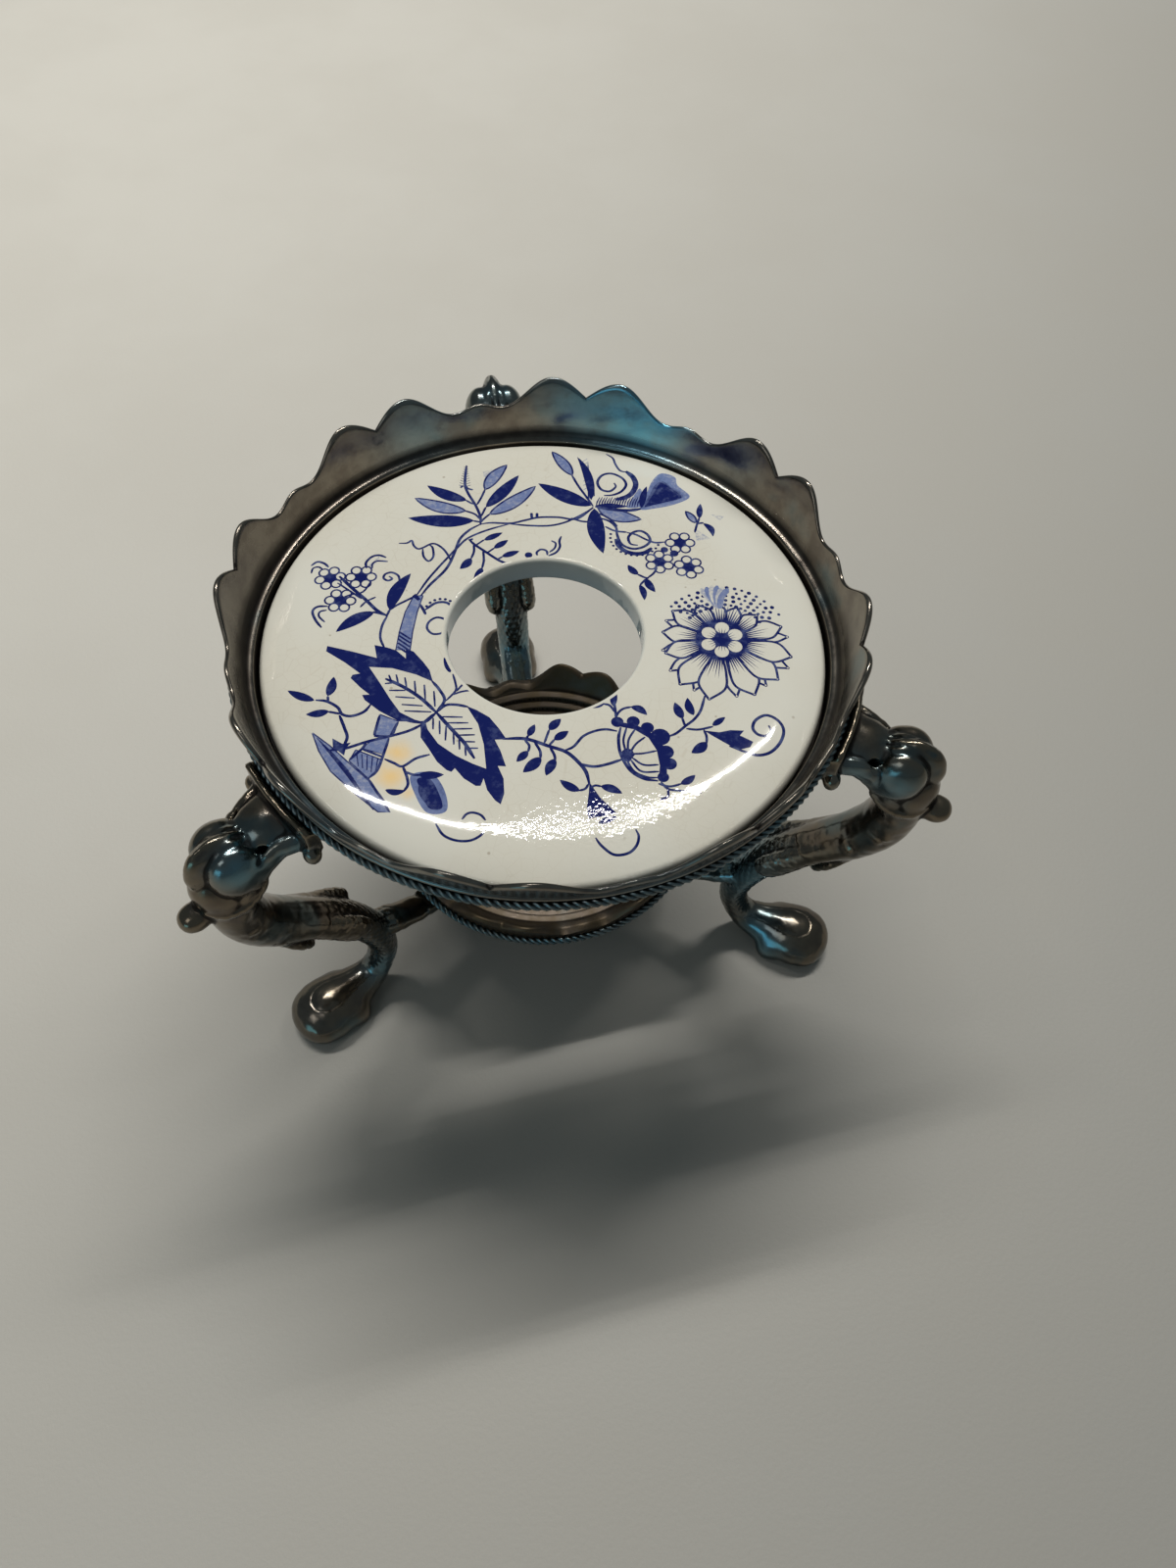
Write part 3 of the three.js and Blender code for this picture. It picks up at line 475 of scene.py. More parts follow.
# Strokes: width, then points that a smooth line runs through
STROKES = (
    (0.5, -14.3, 29, -14.4, 31.5, -15.5, 34.8, -17.3, 38.6, -18, 41.5, -17.9, 47.4),
    (0.4, -15.8, 30.2, -14.3, 29.9), (0.4, -17.8, 33.2, -15.6, 32.2, -14.3, 30.6),
    (0.4, -17.6, 36.3, -16.4, 35.4, -15.5, 35.2), (0.4, -13.6, 39.6, -14.4, 37, -15.2, 35),
    (0.4, -13.3, 34.3, -14.2, 31.6), (0.4, -12.4, 32.3, -13.8, 30.6, -14.3, 29.6),
    (0.4, -18.9, 40, -18.4, 40.8), (0.4, -16.2, 39.4, -17.4, 39.9, -17.8, 40.8),
    (0.45, -14.2, 29.3, -12, 29.7, -8, 29.6, -5, 30.5, -2, 31.4, 2, 31.5, 6, 31.1, 9.6, 34.4),
    (0.42, -8, 29.4, -4, 29, 0, 29, 3, 29.8, 5.5, 31.2, 8, 33, 9.6, 34.6),
    (0.42, 4.8, 31.3, 7, 30.4, 9, 30.2), (0.5, -3.5, 31.2, -3.6, 32.7), (0.5, -2.4, 31.3, -2.4, 32.7),
    (0.5, -14.4, 29.2, -16.6, 27.5, -18.4, 25, -19.3, 21.5, -20.3, 18, -21.5, 15.6, -24, 12.2, -25.6,
     9.4),
    (0.42, -8.3, 29.4, -13, 27.5, -16.8, 25.2, -18.8, 22.6, -20.8, 19.6, -22.6, 16.8, -24.6, 13.4, -26.6,
     9.2),
    (0.4, -31, 23.6, -29.3, 23.7, -28.4, 24.4, -27.9, 23, -27, 22.1, -26, 22.4, -24, 23.6, -22.2, 22.6,
     -20.8, 20.6, -19.9, 18.4),
    (0.4, -26, 22.1, -25.7, 20, -24.6, 18.7, -23.7, 20, -24, 22.5, -24.8, 23.3),
    (0.5, -16.6, 24.9, -15.3, 23.4, -13, 21.4, -10.4, 19.2, -8.4, 18, -7.6, 17),
    (0.42, -15.5, 23.5, -15.4, 21.5, -15.9, 19.5), (0.42, -13.5, 21.8, -13.3, 19, -13.6, 16.8),
    (0.36, -15, 23.3, -13.4, 24.8), (0.36, -12.6, 21.2, -11.2, 22.5), (0.36, -10.5, 19.3, -9.5, 20.1),
    (0.45, -16.4, 24.6, -15.7, 25.1), (0.45, 5.1, 44.4, 6.4, 41.2, 8, 38, 9.6, 34.8),
    (0.5, 14.3, 42, 14.6, 40.8, 13.2, 39.4, 11.4, 40, 10.7, 42.2, 11.8, 44.4, 13.9, 45, 16.1, 43.6, 16.9,
     41.5, 15.8, 39.4, 13.9, 38.3, 12, 38.1),
    (0.42, 12.9, 52.3, 14.3, 50.7, 14.8, 48.4, 15.7, 46.2, 17.1, 45.6),
    (1.0, 17.0, 46.0, 18.5, 44, 19, 41.5, 18.1, 39, 16.6, 37.6, 14.4, 36.9),
    (0.7, 10, 34.8, 13.4, 34, 17, 33.7, 19.8, 34.2), (0.45, 11, 31.4, 13, 30.4, 14.3, 28.6, 14.4, 26.6),
    (0.42, 12, 28.9, 14, 27.7, 16.6, 27.3), (0.4, 10.6, 32.8, 12.8, 31.4, 14.6, 29),
    (0.5, 18.7, 23.6, 17.2, 24, 16.8, 25.8, 17.9, 27.3, 19.5, 27.7, 20.9, 26.6, 21.3, 24.8, 19.9, 23.2,
     17.6, 22.6, 15.4, 23.8, 14.5, 26.4, 14.3, 29.2),
    (0.85, 14.1, 25.4, 14.7, 23.4, 16.2, 21.8, 18.3, 21.2, 20.2, 21.6, 21.6, 22.9),
    (0.42, 16.6, 27.2, 18.5, 26.6, 20.6, 25.2, 22.4, 24.4, 24.4, 24.6),
    (0.42, 18.3, 15.5, 19.8, 14.6, 20.6, 14.5), (0.4, 19.9, 14.2, 18.7, 12.6),
    (0.4, 20.4, 14.6, 21.6, 15.8, 22.4, 17.4), (0.42, 32.2, 31.8, 31.5, 29.6, 30.9, 27.4),
    (0.42, 31.4, 30, 33, 30.3),
    (0.45, 29.9, -15.4, 28.8, -18.9, 27.4, -21, 25.8, -22.4, 23.8, -24.2, 22, -25),
    (0.42, 25.2, -20.6, 25.6, -22.4), (0.42, 25.8, -23.1, 28.1, -23.3, 30.9, -22.6),
    (0.42, 29.1, -23.4, 29.5, -24.8, 29.4, -26.4),
    (0.5, 33.6, -27, 36.3, -28.2, 38.8, -28.9, 41.3, -28.1, 43.4, -25.8, 44.3, -23.1, 43.4, -21, 41.3,
     -19.9, 39.2, -21, 38.4, -22.8, 39.1, -24.2, 40.6, -24.6, 41.8, -23.6, 41.5, -22.2),
    (0.5, 13.5, -22.8, 13, -25.5, 13.3, -28.9, 14.9, -32.4, 17.3, -34.2, 19.9, -34.7),
    (0.36, 14.3, -28.6, 13.9, -25.8, 14.6, -22.8), (0.36, 14.6, -28.4, 14.9, -25.6, 16.2, -23.2),
    (0.36, 15, -28.6, 16.2, -26.6, 18, -25), (0.36, 15.4, -28.8, 17.4, -28.7, 20, -28.1),
    (0.36, 15.3, -29.6, 17.4, -31.2, 20.2, -31.2), (0.36, 15, -30, 16.9, -32.6, 20.2, -32.7),
    (0.36, 14.2, -29.8, 15.6, -32.6, 18, -33.9, 20, -34),
    (0.42, 12.6, -20.6, 13.2, -19.4, 14.2, -18.5, 15.7, -18.1),
    (0.42, 12.7, -20.8, 12.6, -18.6, 12.4, -16.8), (0.42, 12.6, -19.4, 11.6, -17.8, 10.4, -17.4),
    (0.4, 19.9, -35.3, 22, -35.9, 24.2, -35.3), (0.4, 20.4, -34.9, 21.6, -36.4, 23.8, -36.8, 27.7, -37.2),
    (0.4, 21.6, -36.3, 21.5, -38, 20, -38.7),
    (0.6, -8.6, -25.5, -4.3, -25.5, 0, -27.1, 3.2, -28.4, 5.4, -30.6, 6.8, -32.8, 7.4, -35.6),
    (0.45, 2.7, -28.2, 4.6, -27.2, 6.4, -24.9, 8.6, -23.7, 10.7, -23.3, 12.8, -23.7),
    (0.5, 5.4, -31, 8.2, -31.6, 10.7, -31.1, 13.6, -30), (0.4, -3.8, -24.7, -4.2, -25.6),
    (0.4, 0.1, -23.4, -0.8, -26.4), (0.4, 1.1, -25.6, 0.1, -26.9),
    (0.42, -4.4, -25.8, -3.6, -27, -3.8, -28.4), (0.45, -2.6, -26.2, -1.6, -28.2, -1.5, -29.8),
    (0.45, 0.3, -27.5, 1, -29, 1.2, -30.2), (0.4, 5.5, -36.8, 6.6, -36.4, 7.2, -35.4),
    (0.4, 9.5, -35.9, 8.4, -35.7, 7.6, -36.2),
    (0.42, 8.2, -46.5, 9.3, -48.1, 11.4, -49.7, 13.9, -49.4, 15.4, -48, 15.9, -46.2, 15.4, -44.8),
    (0.4, -15.4, -42.8, -14.6, -41.7, -13.5, -41.4, -12.1, -41.9, -11.2, -43),
    (0.4, -20, -43.6, -18.6, -45.8, -16.4, -46.9, -13.9, -47, -12, -46, -11.2, -44.6),
    (0.45, -48.5, 17.6, -47.3, 18.6, -45.8, 18, -44.8, 16.9),
    (0.36, -48.2, 15.4, -48, 16.8, -46.9, 17.1, -45.9, 16.3),
    (0.45, -37.1, 16.6, -37.3, 18.2, -36.2, 19.8, -34.8, 20.2, -33.3, 19.6),
    (0.36, -35.9, 16.6, -36, 17.7, -35.1, 18.6, -32.9, 18.5),
    (0.45, -43.9, 6.4, -45.9, 6.3, -46.8, 5.1, -46, 2.9, -44.6, 0.9),
    (0.36, -44, 5.4, -45.3, 5, -45.4, 3.8, -44.1, 2.3),
    (0.6, -42.4, 14.4, -39.4, 11.1, -36.6, 8.2, -34.1, 5.4, -32, 4),
    (0.36, -42.6, 12.6, -39.6, 10.2, -37.4, 8.4), (0.36, -37.5, 6.2, -36.4, 7.7, -34.6, 8.9),
    (0.36, -41, 8.8, -39.2, 9.6, -38.2, 9.4), (0.36, -35.8, 13.2, -37, 10.6, -38, 9.8),
    (0.45, -34.9, 5, -33.4, 4.6, -32, 4.1), (0.42, -31.9, 4.2, -32.8, 1.4, -32.9, -1.6, -31.9, -4.2),
    (0.42, -31.6, 5.6, -32, 4.2), (0.42, -26.6, 9.3, -28.5, 8, -30.5, 6.6, -31.7, 5.4),
    (0.42, -30.1, 12.8, -30.5, 14.6, -31.9, 15.5, -33.2, 15, -33.4, 13.9, -32.5, 13.3, -31.7, 13.8, -32.4,
     14.5), (0.5, -24.6, 5.6, -22.6, 7.4, -20.6, 7.6, -19.2, 6.4, -18.6, 4.8),
    (0.42, -20, 2.4, -20.9, 3.4, -22.4, 3.6, -23.7, 2.4, -23.9, 0.8, -22.8, -0.5, -21.2, -0.4, -20.2,
     0.6), (0.5, -25.8, 7.2, -25, 5.8, -24.4, 4.4),
    (0.42, 0, 20.4, 1.6, 21.4, 2.4, 23, 2.3, 24.6, 2.7, 26),
    (0.36, 0.2, 21.4, 1.3, 22.6, 1.5, 24, 0.6, 24.7),
    (0.42, -0.2, 20.6, -0.4, 21.8, -1.5, 22.2, -2.4, 21.4, -2.3, 20.5),
    (0.6, -31.2, -11.6, -27.9, -13.4, -24.3, -16.1, -21.1, -19.5),
    (0.6, -21.1, -19.5, -18.9, -22.3, -16.8, -24.9, -15.4, -26.7, -13.6, -29.9),
    (0.5, -22.3, -12.1, -20.7, -14.3, -19.7, -16.7, -21.1, -19.5),
    (0.5, -21.1, -19.5, -19.5, -17.9, -17.6, -17.7, -15.2, -18.2),
    (0.5, -27.6, -21, -25, -21.7, -22.9, -21.6, -21.1, -19.5),
    (0.5, -23.7, -23.2, -23.2, -21.8, -21.4, -19.8),
    (0.5, -22.9, -21.8, -25.7, -23.6, -28.9, -24.8, -33.2, -26.1, -37.1, -27.6, -39.4, -28),
    (0.5, -33.4, -17.6, -34.6, -19.4, -36.8, -20.4, -38.6, -20, -39.6, -18.4, -41.8, -17, -43.9, -16.7),
    (0.42, -41.7, -15.8, -41.5, -17), (0.42, -41.2, -19.4, -39, -19.9),
    (0.5, -39.1, -20.2, -37.9, -23.1, -37.2, -25.2, -37.7, -27.2),
    (0.45, -30, -30, -28.2, -30.9, -26.6, -31.6, -24.3, -29.9, -21.8, -29),
    (0.45, -26.6, -31.5, -25.7, -33.8, -25.4, -35.6, -26.1, -37),
    (0.42, -26, -32.8, -24.6, -33.4, -23.4, -33.5),
    (0.42, -32.6, -34.2, -31.1, -36.6, -29.6, -38.8, -28.4, -41),
    (0.36, -18.4, -10.4, -17.8, -12.6, -17.7, -14.4, -19.4, -16.8), (0.36, -17.6, -14.6, -16.1, -12.5),
    (0.36, -18.2, -15.4, -16.4, -14.6, -14.2, -14.5, -12.4, -16.4), (0.45, -32.3, -24.8, -31.6, -20.2),
    (0.45, -28.1, -21.8, -29.3, -25), (0.45, -32.3, -24.9, -29.4, -25.1),
    (0.45, -33.6, -26.4, -34.3, -27.8, -36.4, -30.2),
    (0.45, -29.5, -25.4, -30.2, -28.8, -31.1, -32.4, -32.6, -34.2), (0.4, -34.3, -27.8, -30.3, -29.6),
)

# Filled outlines: tone, then corners
PATCHES = (
    (FAINT, -12.2, 45.9, -14.2, 45.2, -14.1, 43.6, -12.6, 42.6),
    (WASH, 8.7, 49.4, 8.9, 44, 9.9, 41.4, 9.9, 38, 8.6, 37),
    (WASH, -25.2, 9.4, -26.1, 5, -26.7, 0, -26.9, -4.6, -29.7, -4.6, -29.3, 0, -28.5, 5, -27.1, 9.2),
    (DARK, -25.6, 8.4, -26.7, 9.9, -27.4, 9.2, -26.2, 8.0),
    (DARK, -43, -3.7, -38.2, -5, -33.2, -6.6, -33.9, -3.4, -31.4, -4, -29.6, -4.7, -27.6, -6.7, -27.8,
     -4.2, -26.2, -5, -24.3, -7.4, -22.9, -9.5, -22.1, -12.3, -25.4, -10.6, -30, -9.1, -34.5, -8.8, -32.1,
     -12.7, -30, -16.3, -27.9, -19.5, -25, -21.2, -23.4, -21.7, -27.9, -21.6, -31.8, -19.2, -34.7, -16.7,
     -35.3, -15.5, -33.9, -15.4, -35.7, -13.8, -37.8, -11.5, -37.5, -10.7, -36.1, -10.4, -39.3, -7.7,
     -43.1, -5),
    (DARK, -15.5, -18, -13.6, -18.9, -11.1, -20.6, -9.3, -23.1, -7.8, -25.6, -10, -25.7, -8.9, -28.1,
     -7.8, -31.6, -9.3, -31.5, -8.2, -34.2, -8, -37.4, -8.6, -39.7, -9.6, -38.9, -11.1, -36.7, -11.8,
     -34.2, -12.3, -35.8, -13.2, -35.8, -15.4, -34.2, -17.1, -32, -17.7, -32.8, -18.6, -32.4, -20.4,
     -30.6, -22.1, -27.7, -23.7, -25.2, -23.8, -23.1, -22.9, -22, -22.5, -23.4, -20.4, -26.6, -17.1,
     -29.2, -13.9, -31, -11.4, -32.1, -12, -26.7, -13.2, -22.1),
    (WASH, -31.6, -20, -28, -21.6, -28.6, -24.1, -29.3, -25.1, -32.1, -24.8),
    (WASH, -32.6, -25.8, -29.6, -25.3, -30.2, -29, -34.2, -27.7),
    (WASH, -35.4, -28, -30.4, -30.2, -31.1, -32.4, -32.6, -34.2, -36.4, -30.4),
    (WASH, -43.8, -24, -40.2, -27, -36.8, -30.4, -32.5, -34.6, -30.3, -37.6, -28.2, -41.2, -30.4, -41,
     -34.8, -37.2, -39.6, -32.4, -42.2, -28),
    (DARK, 29.1, -23.5, 32, -23.9, 34.1, -23.4, 36.7, -23.5, 35.8, -24.6, 38.2, -26, 37.5, -27.2, 35.2,
     -27.9, 32.7, -26.2, 30.6, -24.7),
    (DARK, 7.4, -35, 9.2, -38.2, 12.1, -41.5, 9.6, -42.2, 7, -42.7, 6.8, -40.3, 7.2, -37.4),
    (DARK, 15.9, -29, 14.8, -30.6, 13.4, -30.2, 13.2, -28.6, 14.2, -27.5, 15.4, -27.8),
    (DARK, 13, -22.6, 16, -23.3, 18.6, -25.2, 20, -28, 20.4, -31.4, 20, -34.8, 21.6, -33.6, 21.8, -30,
     21.2, -26.6, 19.4, -24.2, 16.4, -22.2, 13.4, -21.6),
    (LINE, -38, -26.6, -39.9, -25.4, -39.6, -27.6, -40.8, -28.2, -38.6, -28.2, -37.4, -29.2, -37.2, -27.6,
     -36.4, -26.4), (FAINT, 34.8, 33, 37.6, 32.6, 36.6, 31.2), (FAINT, 31, 28.6, 34.2, 25.6, 31, 25),
    (FAINT, -34.8, 19.9, -37, 17, -36.2, 16.8, -34.6, 18.9),
)

# Soft smears of ink, each a smooth closed line: tone, then points
SMEARS = (
    (WASH, 19.6, 34.2, 21.2, 38.8, 22.8, 43.2, 25, 46, 27.8, 45, 28.2, 42, 30.6, 38.4, 27.4, 35.8, 23,
     34.4),
    (HALF, 20, 34.6, 21.4, 38.4, 22.8, 42.4, 24.6, 45, 27, 44, 27, 41.6, 29.6, 38.6, 26, 36.2, 22, 35),
    (SOFT, 20.6, 35.2, 22, 38.8, 23.2, 41.6, 25, 43, 26.6, 41.4, 29.2, 38.4, 26.2, 36.6, 22.6, 35.6),
    (LINE, 20.6, 34.8, 22.2, 37.2, 24, 40.6, 26, 40.4, 28.8, 38, 26, 36.8, 23, 35.6),
    (LINE, 21.4, 35.4, 23, 39.4, 24.4, 42.4, 26, 41.6, 28.8, 38.2, 26, 36.6),
    (HALF, -25, -33.6, -24, -37.6, -21.6, -41.4, -18.2, -41, -18.8, -36.6, -21.4, -33),
    (LINE, -23.8, -34.4, -22.8, -37, -21.4, -40.4, -19, -40.4, -19.8, -37.2, -21.6, -34.2),
    (DARK, 24, 38.2, 25.2, 41, 27, 39.6, 28.2, 38, 26, 37),
    (WASH, 16.8, 34.6, 18, 37.2, 19.8, 40.4, 20.4, 38, 20, 35),
    (LINE, 10.2, 35, 12.6, 35.8, 15.6, 35.4, 17, 34.8, 13, 34.2),
)

# Small blossoms: middle x, y and the turn of the first petal in degrees
BLOSSOMS = (
    (-44.2, 13.9, 72), (-38.0, 14.2, 62), (-41.6, 7.9, 118), (27.6, 24.4, 60), (23.0, 19.0, 90),
    (29.0, 17.6, 40),
)

# Round blobs: x, y, radius, tone
BLOBS = (
    (15.9, -21.5, 1.25, DARK), (18.5, -22.9, 1.25, DARK), (20.8, -25, 1.9, DARK),
    (21.7, -28.4, 1.5, DARK), (22.3, -31, 1.3, DARK), (20.9, -33.9, 1.1, DARK), (12.9, -21.6, 1.2, DARK),
    (-4.1, 20.6, 0.8, DARK), (26.2, 21.4, 0.9, LINE), (24.2, 22.4, 0.8, LINE),
)

# Dots along two curls
BEADS = ((18.2, 25.7, 5.2, 5.0, 168, 13, 14, 0.32), (-21.4, 4.6, 3.4, 3.9, 150, -18, 7, 0.34))

# Veins of the two-part leaf: from x, y to x, y
VEINS = (
    (-29.2, -10.6, -28.6, -13), (-27.5, -11.3, -27, -13.8), (-25.6, -12.1, -25.2, -15.2),
    (-23.7, -13, -23.3, -16.6), (-21.8, -14.5, -21.4, -18.2), (-30.3, -14.4, -27.2, -14.4),
    (-29, -15.9, -25.3, -16.2), (-27.7, -17.7, -23.7, -18), (-27.1, -19.2, -22, -19.4),
    (-31.2, -12.8, -29.6, -12.6), (-30.6, -10.7, -30, -12.2), (-16.1, -20.6, -19.9, -20.5),
    (-15, -21.9, -18.9, -21.9), (-14.2, -23.2, -17.9, -23.3), (-13.7, -24.6, -16.9, -24.7),
    (-13.6, -26.2, -15.8, -26.1), (-13, -27.6, -15, -27.6), (-21.5, -23.4, -21.6, -20.8),
    (-20.2, -24.5, -20.4, -21.4), (-19.1, -25.9, -19.1, -22.6), (-17.5, -26.8, -17.7, -24),
    (-16.4, -27.9, -16.6, -25.2), (-15.2, -29.3, -15.4, -27.2),
)

# The big flower: its middle, the angle and reach of each petal, its heart's edge, its rays and its dots
BIG_FLOWER = (34.3, -1.6)
BACK_PETALS = (
    (-167, 12.4), (-144, 13.4), (-117, 14.2), (-83, 14.2), (-56, 13.8), (-29, 14.4), (4, 13.4),
    (156, 12.0),
)
FRONT_PETALS = (
    (171, 11.9), (-163, 12.0), (-129, 14.4), (-104, 15.2), (-69, 14.6), (-44, 14.2), (-17, 14.1),
    (16, 12.8), (40, 10.0), (66, 9.2), (92, 9.6), (116, 10.0), (142, 12.0),
)
HEART_EDGE = 4.4
RAYS = 84
DOT_SPACING, DOTS_END = 7.6, 13.8


def smooth_path(points, spacing=0.3, closed=False):
    """Even points on a smooth curve through the given ones."""
    points = np.asarray(points, float)
    if closed:
        padded = np.vstack([points[-1:], points, points[:2]])
    else:
        padded = np.vstack([2 * points[0] - points[1], points, 2 * points[-1] - points[-2]])
    rows = []
    for i in range(1, len(padded) - 2):
        a, b, c, d = padded[i - 1 : i + 3]
        count = max(2, int(math.ceil(np.linalg.norm(c - b) / spacing)))
        t = (np.arange(count) / count)[:, None]
        square, cube = 2 * a - 5 * b + 4 * c - d, 3 * b - a - 3 * c + d
        rows.append(0.5 * (2 * b + (c - a) * t + square * t**2 + cube * t**3))
    if not closed:
        rows.append(padded[-2][None])
    return np.vstack(rows)


def ribbon(path, width, taper=0.55):
    """Outline of a stroke along a path, its ends a little narrower."""
    ahead = np.gradient(path, axis=0)
    ahead /= np.linalg.norm(ahead, axis=1, keepdims=True) + 1e-9
    side = np.stack([-ahead[:, 1], ahead[:, 0]], axis=1)
    place = np.linspace(0, 1, len(path))
    edge = np.minimum(1, taper + (1 - taper) * np.minimum(place, 1 - place) * 8)
    half = (width / 2 * edge)[:, None]
    return np.vstack([path + side * half, (path - side * half)[::-1]])


def stroke(points, width, taper, tone=LINE):
    """Tone and outline of a short straight-sided stroke."""
    return tone, ribbon(np.array(points), width, taper)


def rim_line(outline, width):
    """Tone and outline of the line round a closed shape."""
    return LINE, ribbon(np.vstack([outline, outline[:1]]), width, 1)


def polar(x, y, reach, degrees):
    """The point at a distance and an angle from another."""
    at = math.radians(degrees)
    return x + reach * math.cos(at), y + reach * math.sin(at)


def circle(x, y, radius, count=16):
    """Outline of a circle."""
    turn = np.linspace(0, 2 * np.pi, count, endpoint=False)
    return np.stack([x + radius * np.cos(turn), y + radius * np.sin(turn)], axis=1)


def leaf_outline(tip_x, tip_y, base_x, base_y, width, bend):
    """A leaf that swells from its base and narrows to its tip, on a bent middle line."""
    base, tip = np.array([base_x, base_y]), np.array([tip_x, tip_y])
    along = tip - base
    side = np.array([-along[1], along[0]]) / np.linalg.norm(along)
    t = np.linspace(0, 1, 15)
    spine = base + t[:, None] * along + (4 * t * (1 - t) * bend)[:, None] * side
    half = width / 2 * np.sin(np.pi * t**0.85) ** 0.8
    return np.vstack([spine + half[:, None] * side, (spine - half[:, None] * side)[-2:0:-1]])


def wedge(x, y, inner, outer, angle, half_angle):
    """A ray that tapers to a point at its outer end."""
    ends = ((inner, -half_angle), (outer, 0), (inner, half_angle))
    return np.array([polar(x, y, reach, angle + turn) for reach, turn in ends])


def flower_petal(x, y, inner, outer, half_angle, angle):
    """Outline of one broad petal with a sharp tip."""
    edge = ((inner, 0.7), (0.55 * outer, 1.0), (0.8 * outer, 0.82), (outer, 0.0))
    halves = []
    for side in (-half_angle, half_angle):
        halves.append(smooth_path([polar(x, y, reach, angle + side * turn) for reach, turn in edge]))
    return np.vstack([halves[0], halves[1][::-1]])


def flower_petals(x, y):
    """Two rings of petals, the front ones on a bare ground, and the rays round the heart."""
    for angle, reach in BACK_PETALS:
        yield LINE, ribbon(flower_petal(x, y, 8.0, reach, 8, angle), 0.5, 1)
    for angle, reach in FRONT_PETALS:
        petal = flower_petal(x, y, HEART_EDGE, reach, 15, angle)
        yield BARE, petal
        yield LINE, ribbon(petal, 0.52, 1)
    yield LINE, circle(x, y, HEART_EDGE + 0.5, 30)
    for k in range(RAYS):
        stop = 9.0 + 0.9 * math.sin(2.1 * k) + 0.5 * math.sin(0.45 * k)
        yield LINE, wedge(x, y, HEART_EDGE, stop, k * 360 / RAYS, 2.9)


def flower_heart(x, y):
    """Six round petals about a dark middle, each with three short rays."""
    for k in range(6):
        angle = 25 + 60 * k
        yield BARE, circle(*polar(x, y, 3.05, angle), 1.42)
        for lean in (-14, 0, 14):
            yield LINE, wedge(x, y, 1.4, 3.1, angle + lean, 5)
    yield DARK, circle(x, y, 1.75)


def flower_dots(x, y):
    """Two fields of dots beyond the upper petals: their first and last angle and their inner reach."""
    for low, high, inner in ((100, 138, 8.2), (30, 86, 9.2)):
        for row in range(6):
            reach = inner + 1.15 * row
            for k in range(int((high - low) / DOT_SPACING) + 1):
                angle = low + DOT_SPACING * (k + 0.5 * (row % 2))
                if angle > high or reach > DOTS_END:
                    continue
                place = polar(x, y, reach, angle + 2 * math.sin(7 * k + 3 * row))
                yield LINE, circle(*place, 0.4 + 0.07 * math.sin(4 * k + row), 8)


def flower_plume(x, y):
    """Six soft brush strokes that fan out above the flower."""
    for k in range(6):
        lean = -4 + 1.6 * k
        end = (x - 0.4 + 0.7 * lean, y + 14.4 - 0.25 * abs(lean))
        path = smooth_path([(x + 0.2, y + 8), (x - 0.6 + 0.35 * lean, y + 11), end])
        yield WASH if k % 2 else FAINT, ribbon(path, 1.3, 0.3)


def big_flower():
    """Tone and outline of each part of the big flower, the later ones over the earlier ones."""
    for part in (flower_petals, flower_heart, flower_dots, flower_plume):
        yield from part(*BIG_FLOWER)


def filled_patches():
    """The filled outlines, the washed ones with a line round them, and the smears over them."""
    for tone, *row in PATCHES:
        corners = np.array(row).reshape(-1, 2)
        yield tone, corners
        if tone == WASH and len(corners) > 3:
            yield rim_line(corners, 0.26)
    for tone, *row in SMEARS:
        yield tone, smooth_path(np.array(row).reshape(-1, 2), closed=True)


def hatching():
    """Rows of short even strokes that shade the larger forms."""
    for k in range(11):
        start = np.array([-42.8 + 0.95 * k, -25.2 - 1.25 * k])
        slope = np.array([6.6 - 0.45 * k, -7.4 + 0.45 * k])
        yield stroke([start, start + slope * 0.5, start + slope], 0.5, 0.3)
    for k in range(5):
        yield stroke([(-29.4, 0.0 - 0.95 * k), (-27.0, -1.9 - 0.95 * k)], 0.42, 1)
        yield stroke([(-35.2 + k, -28.6 - 0.3 * k), (-34.6 + 0.8 * k, -31.6 - 0.4 * k)], 0.24, 1)
    for k in range(17):
        foot = 10.2 + 0.55 * k
        head = (foot + 0.9, 37.6 + 0.2 * math.sin(3 * k))
        yield stroke([(foot, 34.7), (foot + 0.3, 36.2), head], 0.36, 0.4)
    for k in range(9):
        rise = 40.6 + 0.75 * k
        for side in (-1, 1):
            tip = (-18 + side * (1.25 - 0.11 * k), rise + 0.3)
            yield stroke([tip, (-18, rise - 0.3)], 0.3, 0.5)
    for k in range(8):
        rise = 39.8 + 1.3 * k
        yield stroke([(7.6, rise), (9.2 - 0.08 * k, rise + 1.1)], 0.7, 0.2, WASH)


def beading():
    """Dots along two curls: their middle, reach across and up, first angle, step, count and radius."""
    for x, y, across, up, first, step, count, radius in BEADS:
        for k in range(count):
            at = math.radians(first + step * k)
            yield DARK, circle(x + across * math.cos(at), y + up * math.sin(at), radius, 8)


def leaves_and_blossoms():
    """The leaves, the washed ones with a line round them, and the small six-petalled blossoms."""
    for *row, tone in LEAVES:
        outline = leaf_outline(*row)
        yield tone, outline
        if tone == WASH:
            yield rim_line(outline, 0.42)
    for x, y, turn in BLOSSOMS:
        for k in range(6):
            yield rim_line(circle(*polar(x, y, 2.05, turn + 60 * k), 1.02), 0.4)
        yield DARK, circle(x, y, 1.15)


def drawn_lines():
    """The stems, curls and outlines, the round blobs on them, and the veins of the two-part leaf."""
    for width, *row in STROKES:
        yield LINE, ribbon(smooth_path(np.array(row).reshape(-1, 2)), STROKE_SPREAD * width)
    for x, y, radius, tone in BLOBS:
        yield tone, circle(x, y, radius)
    for x, y, to_x, to_y in VEINS:
        yield stroke([(x, y), ((x + to_x) / 2, (y + to_y) / 2), (to_x, to_y)], 0.42, 0.7)


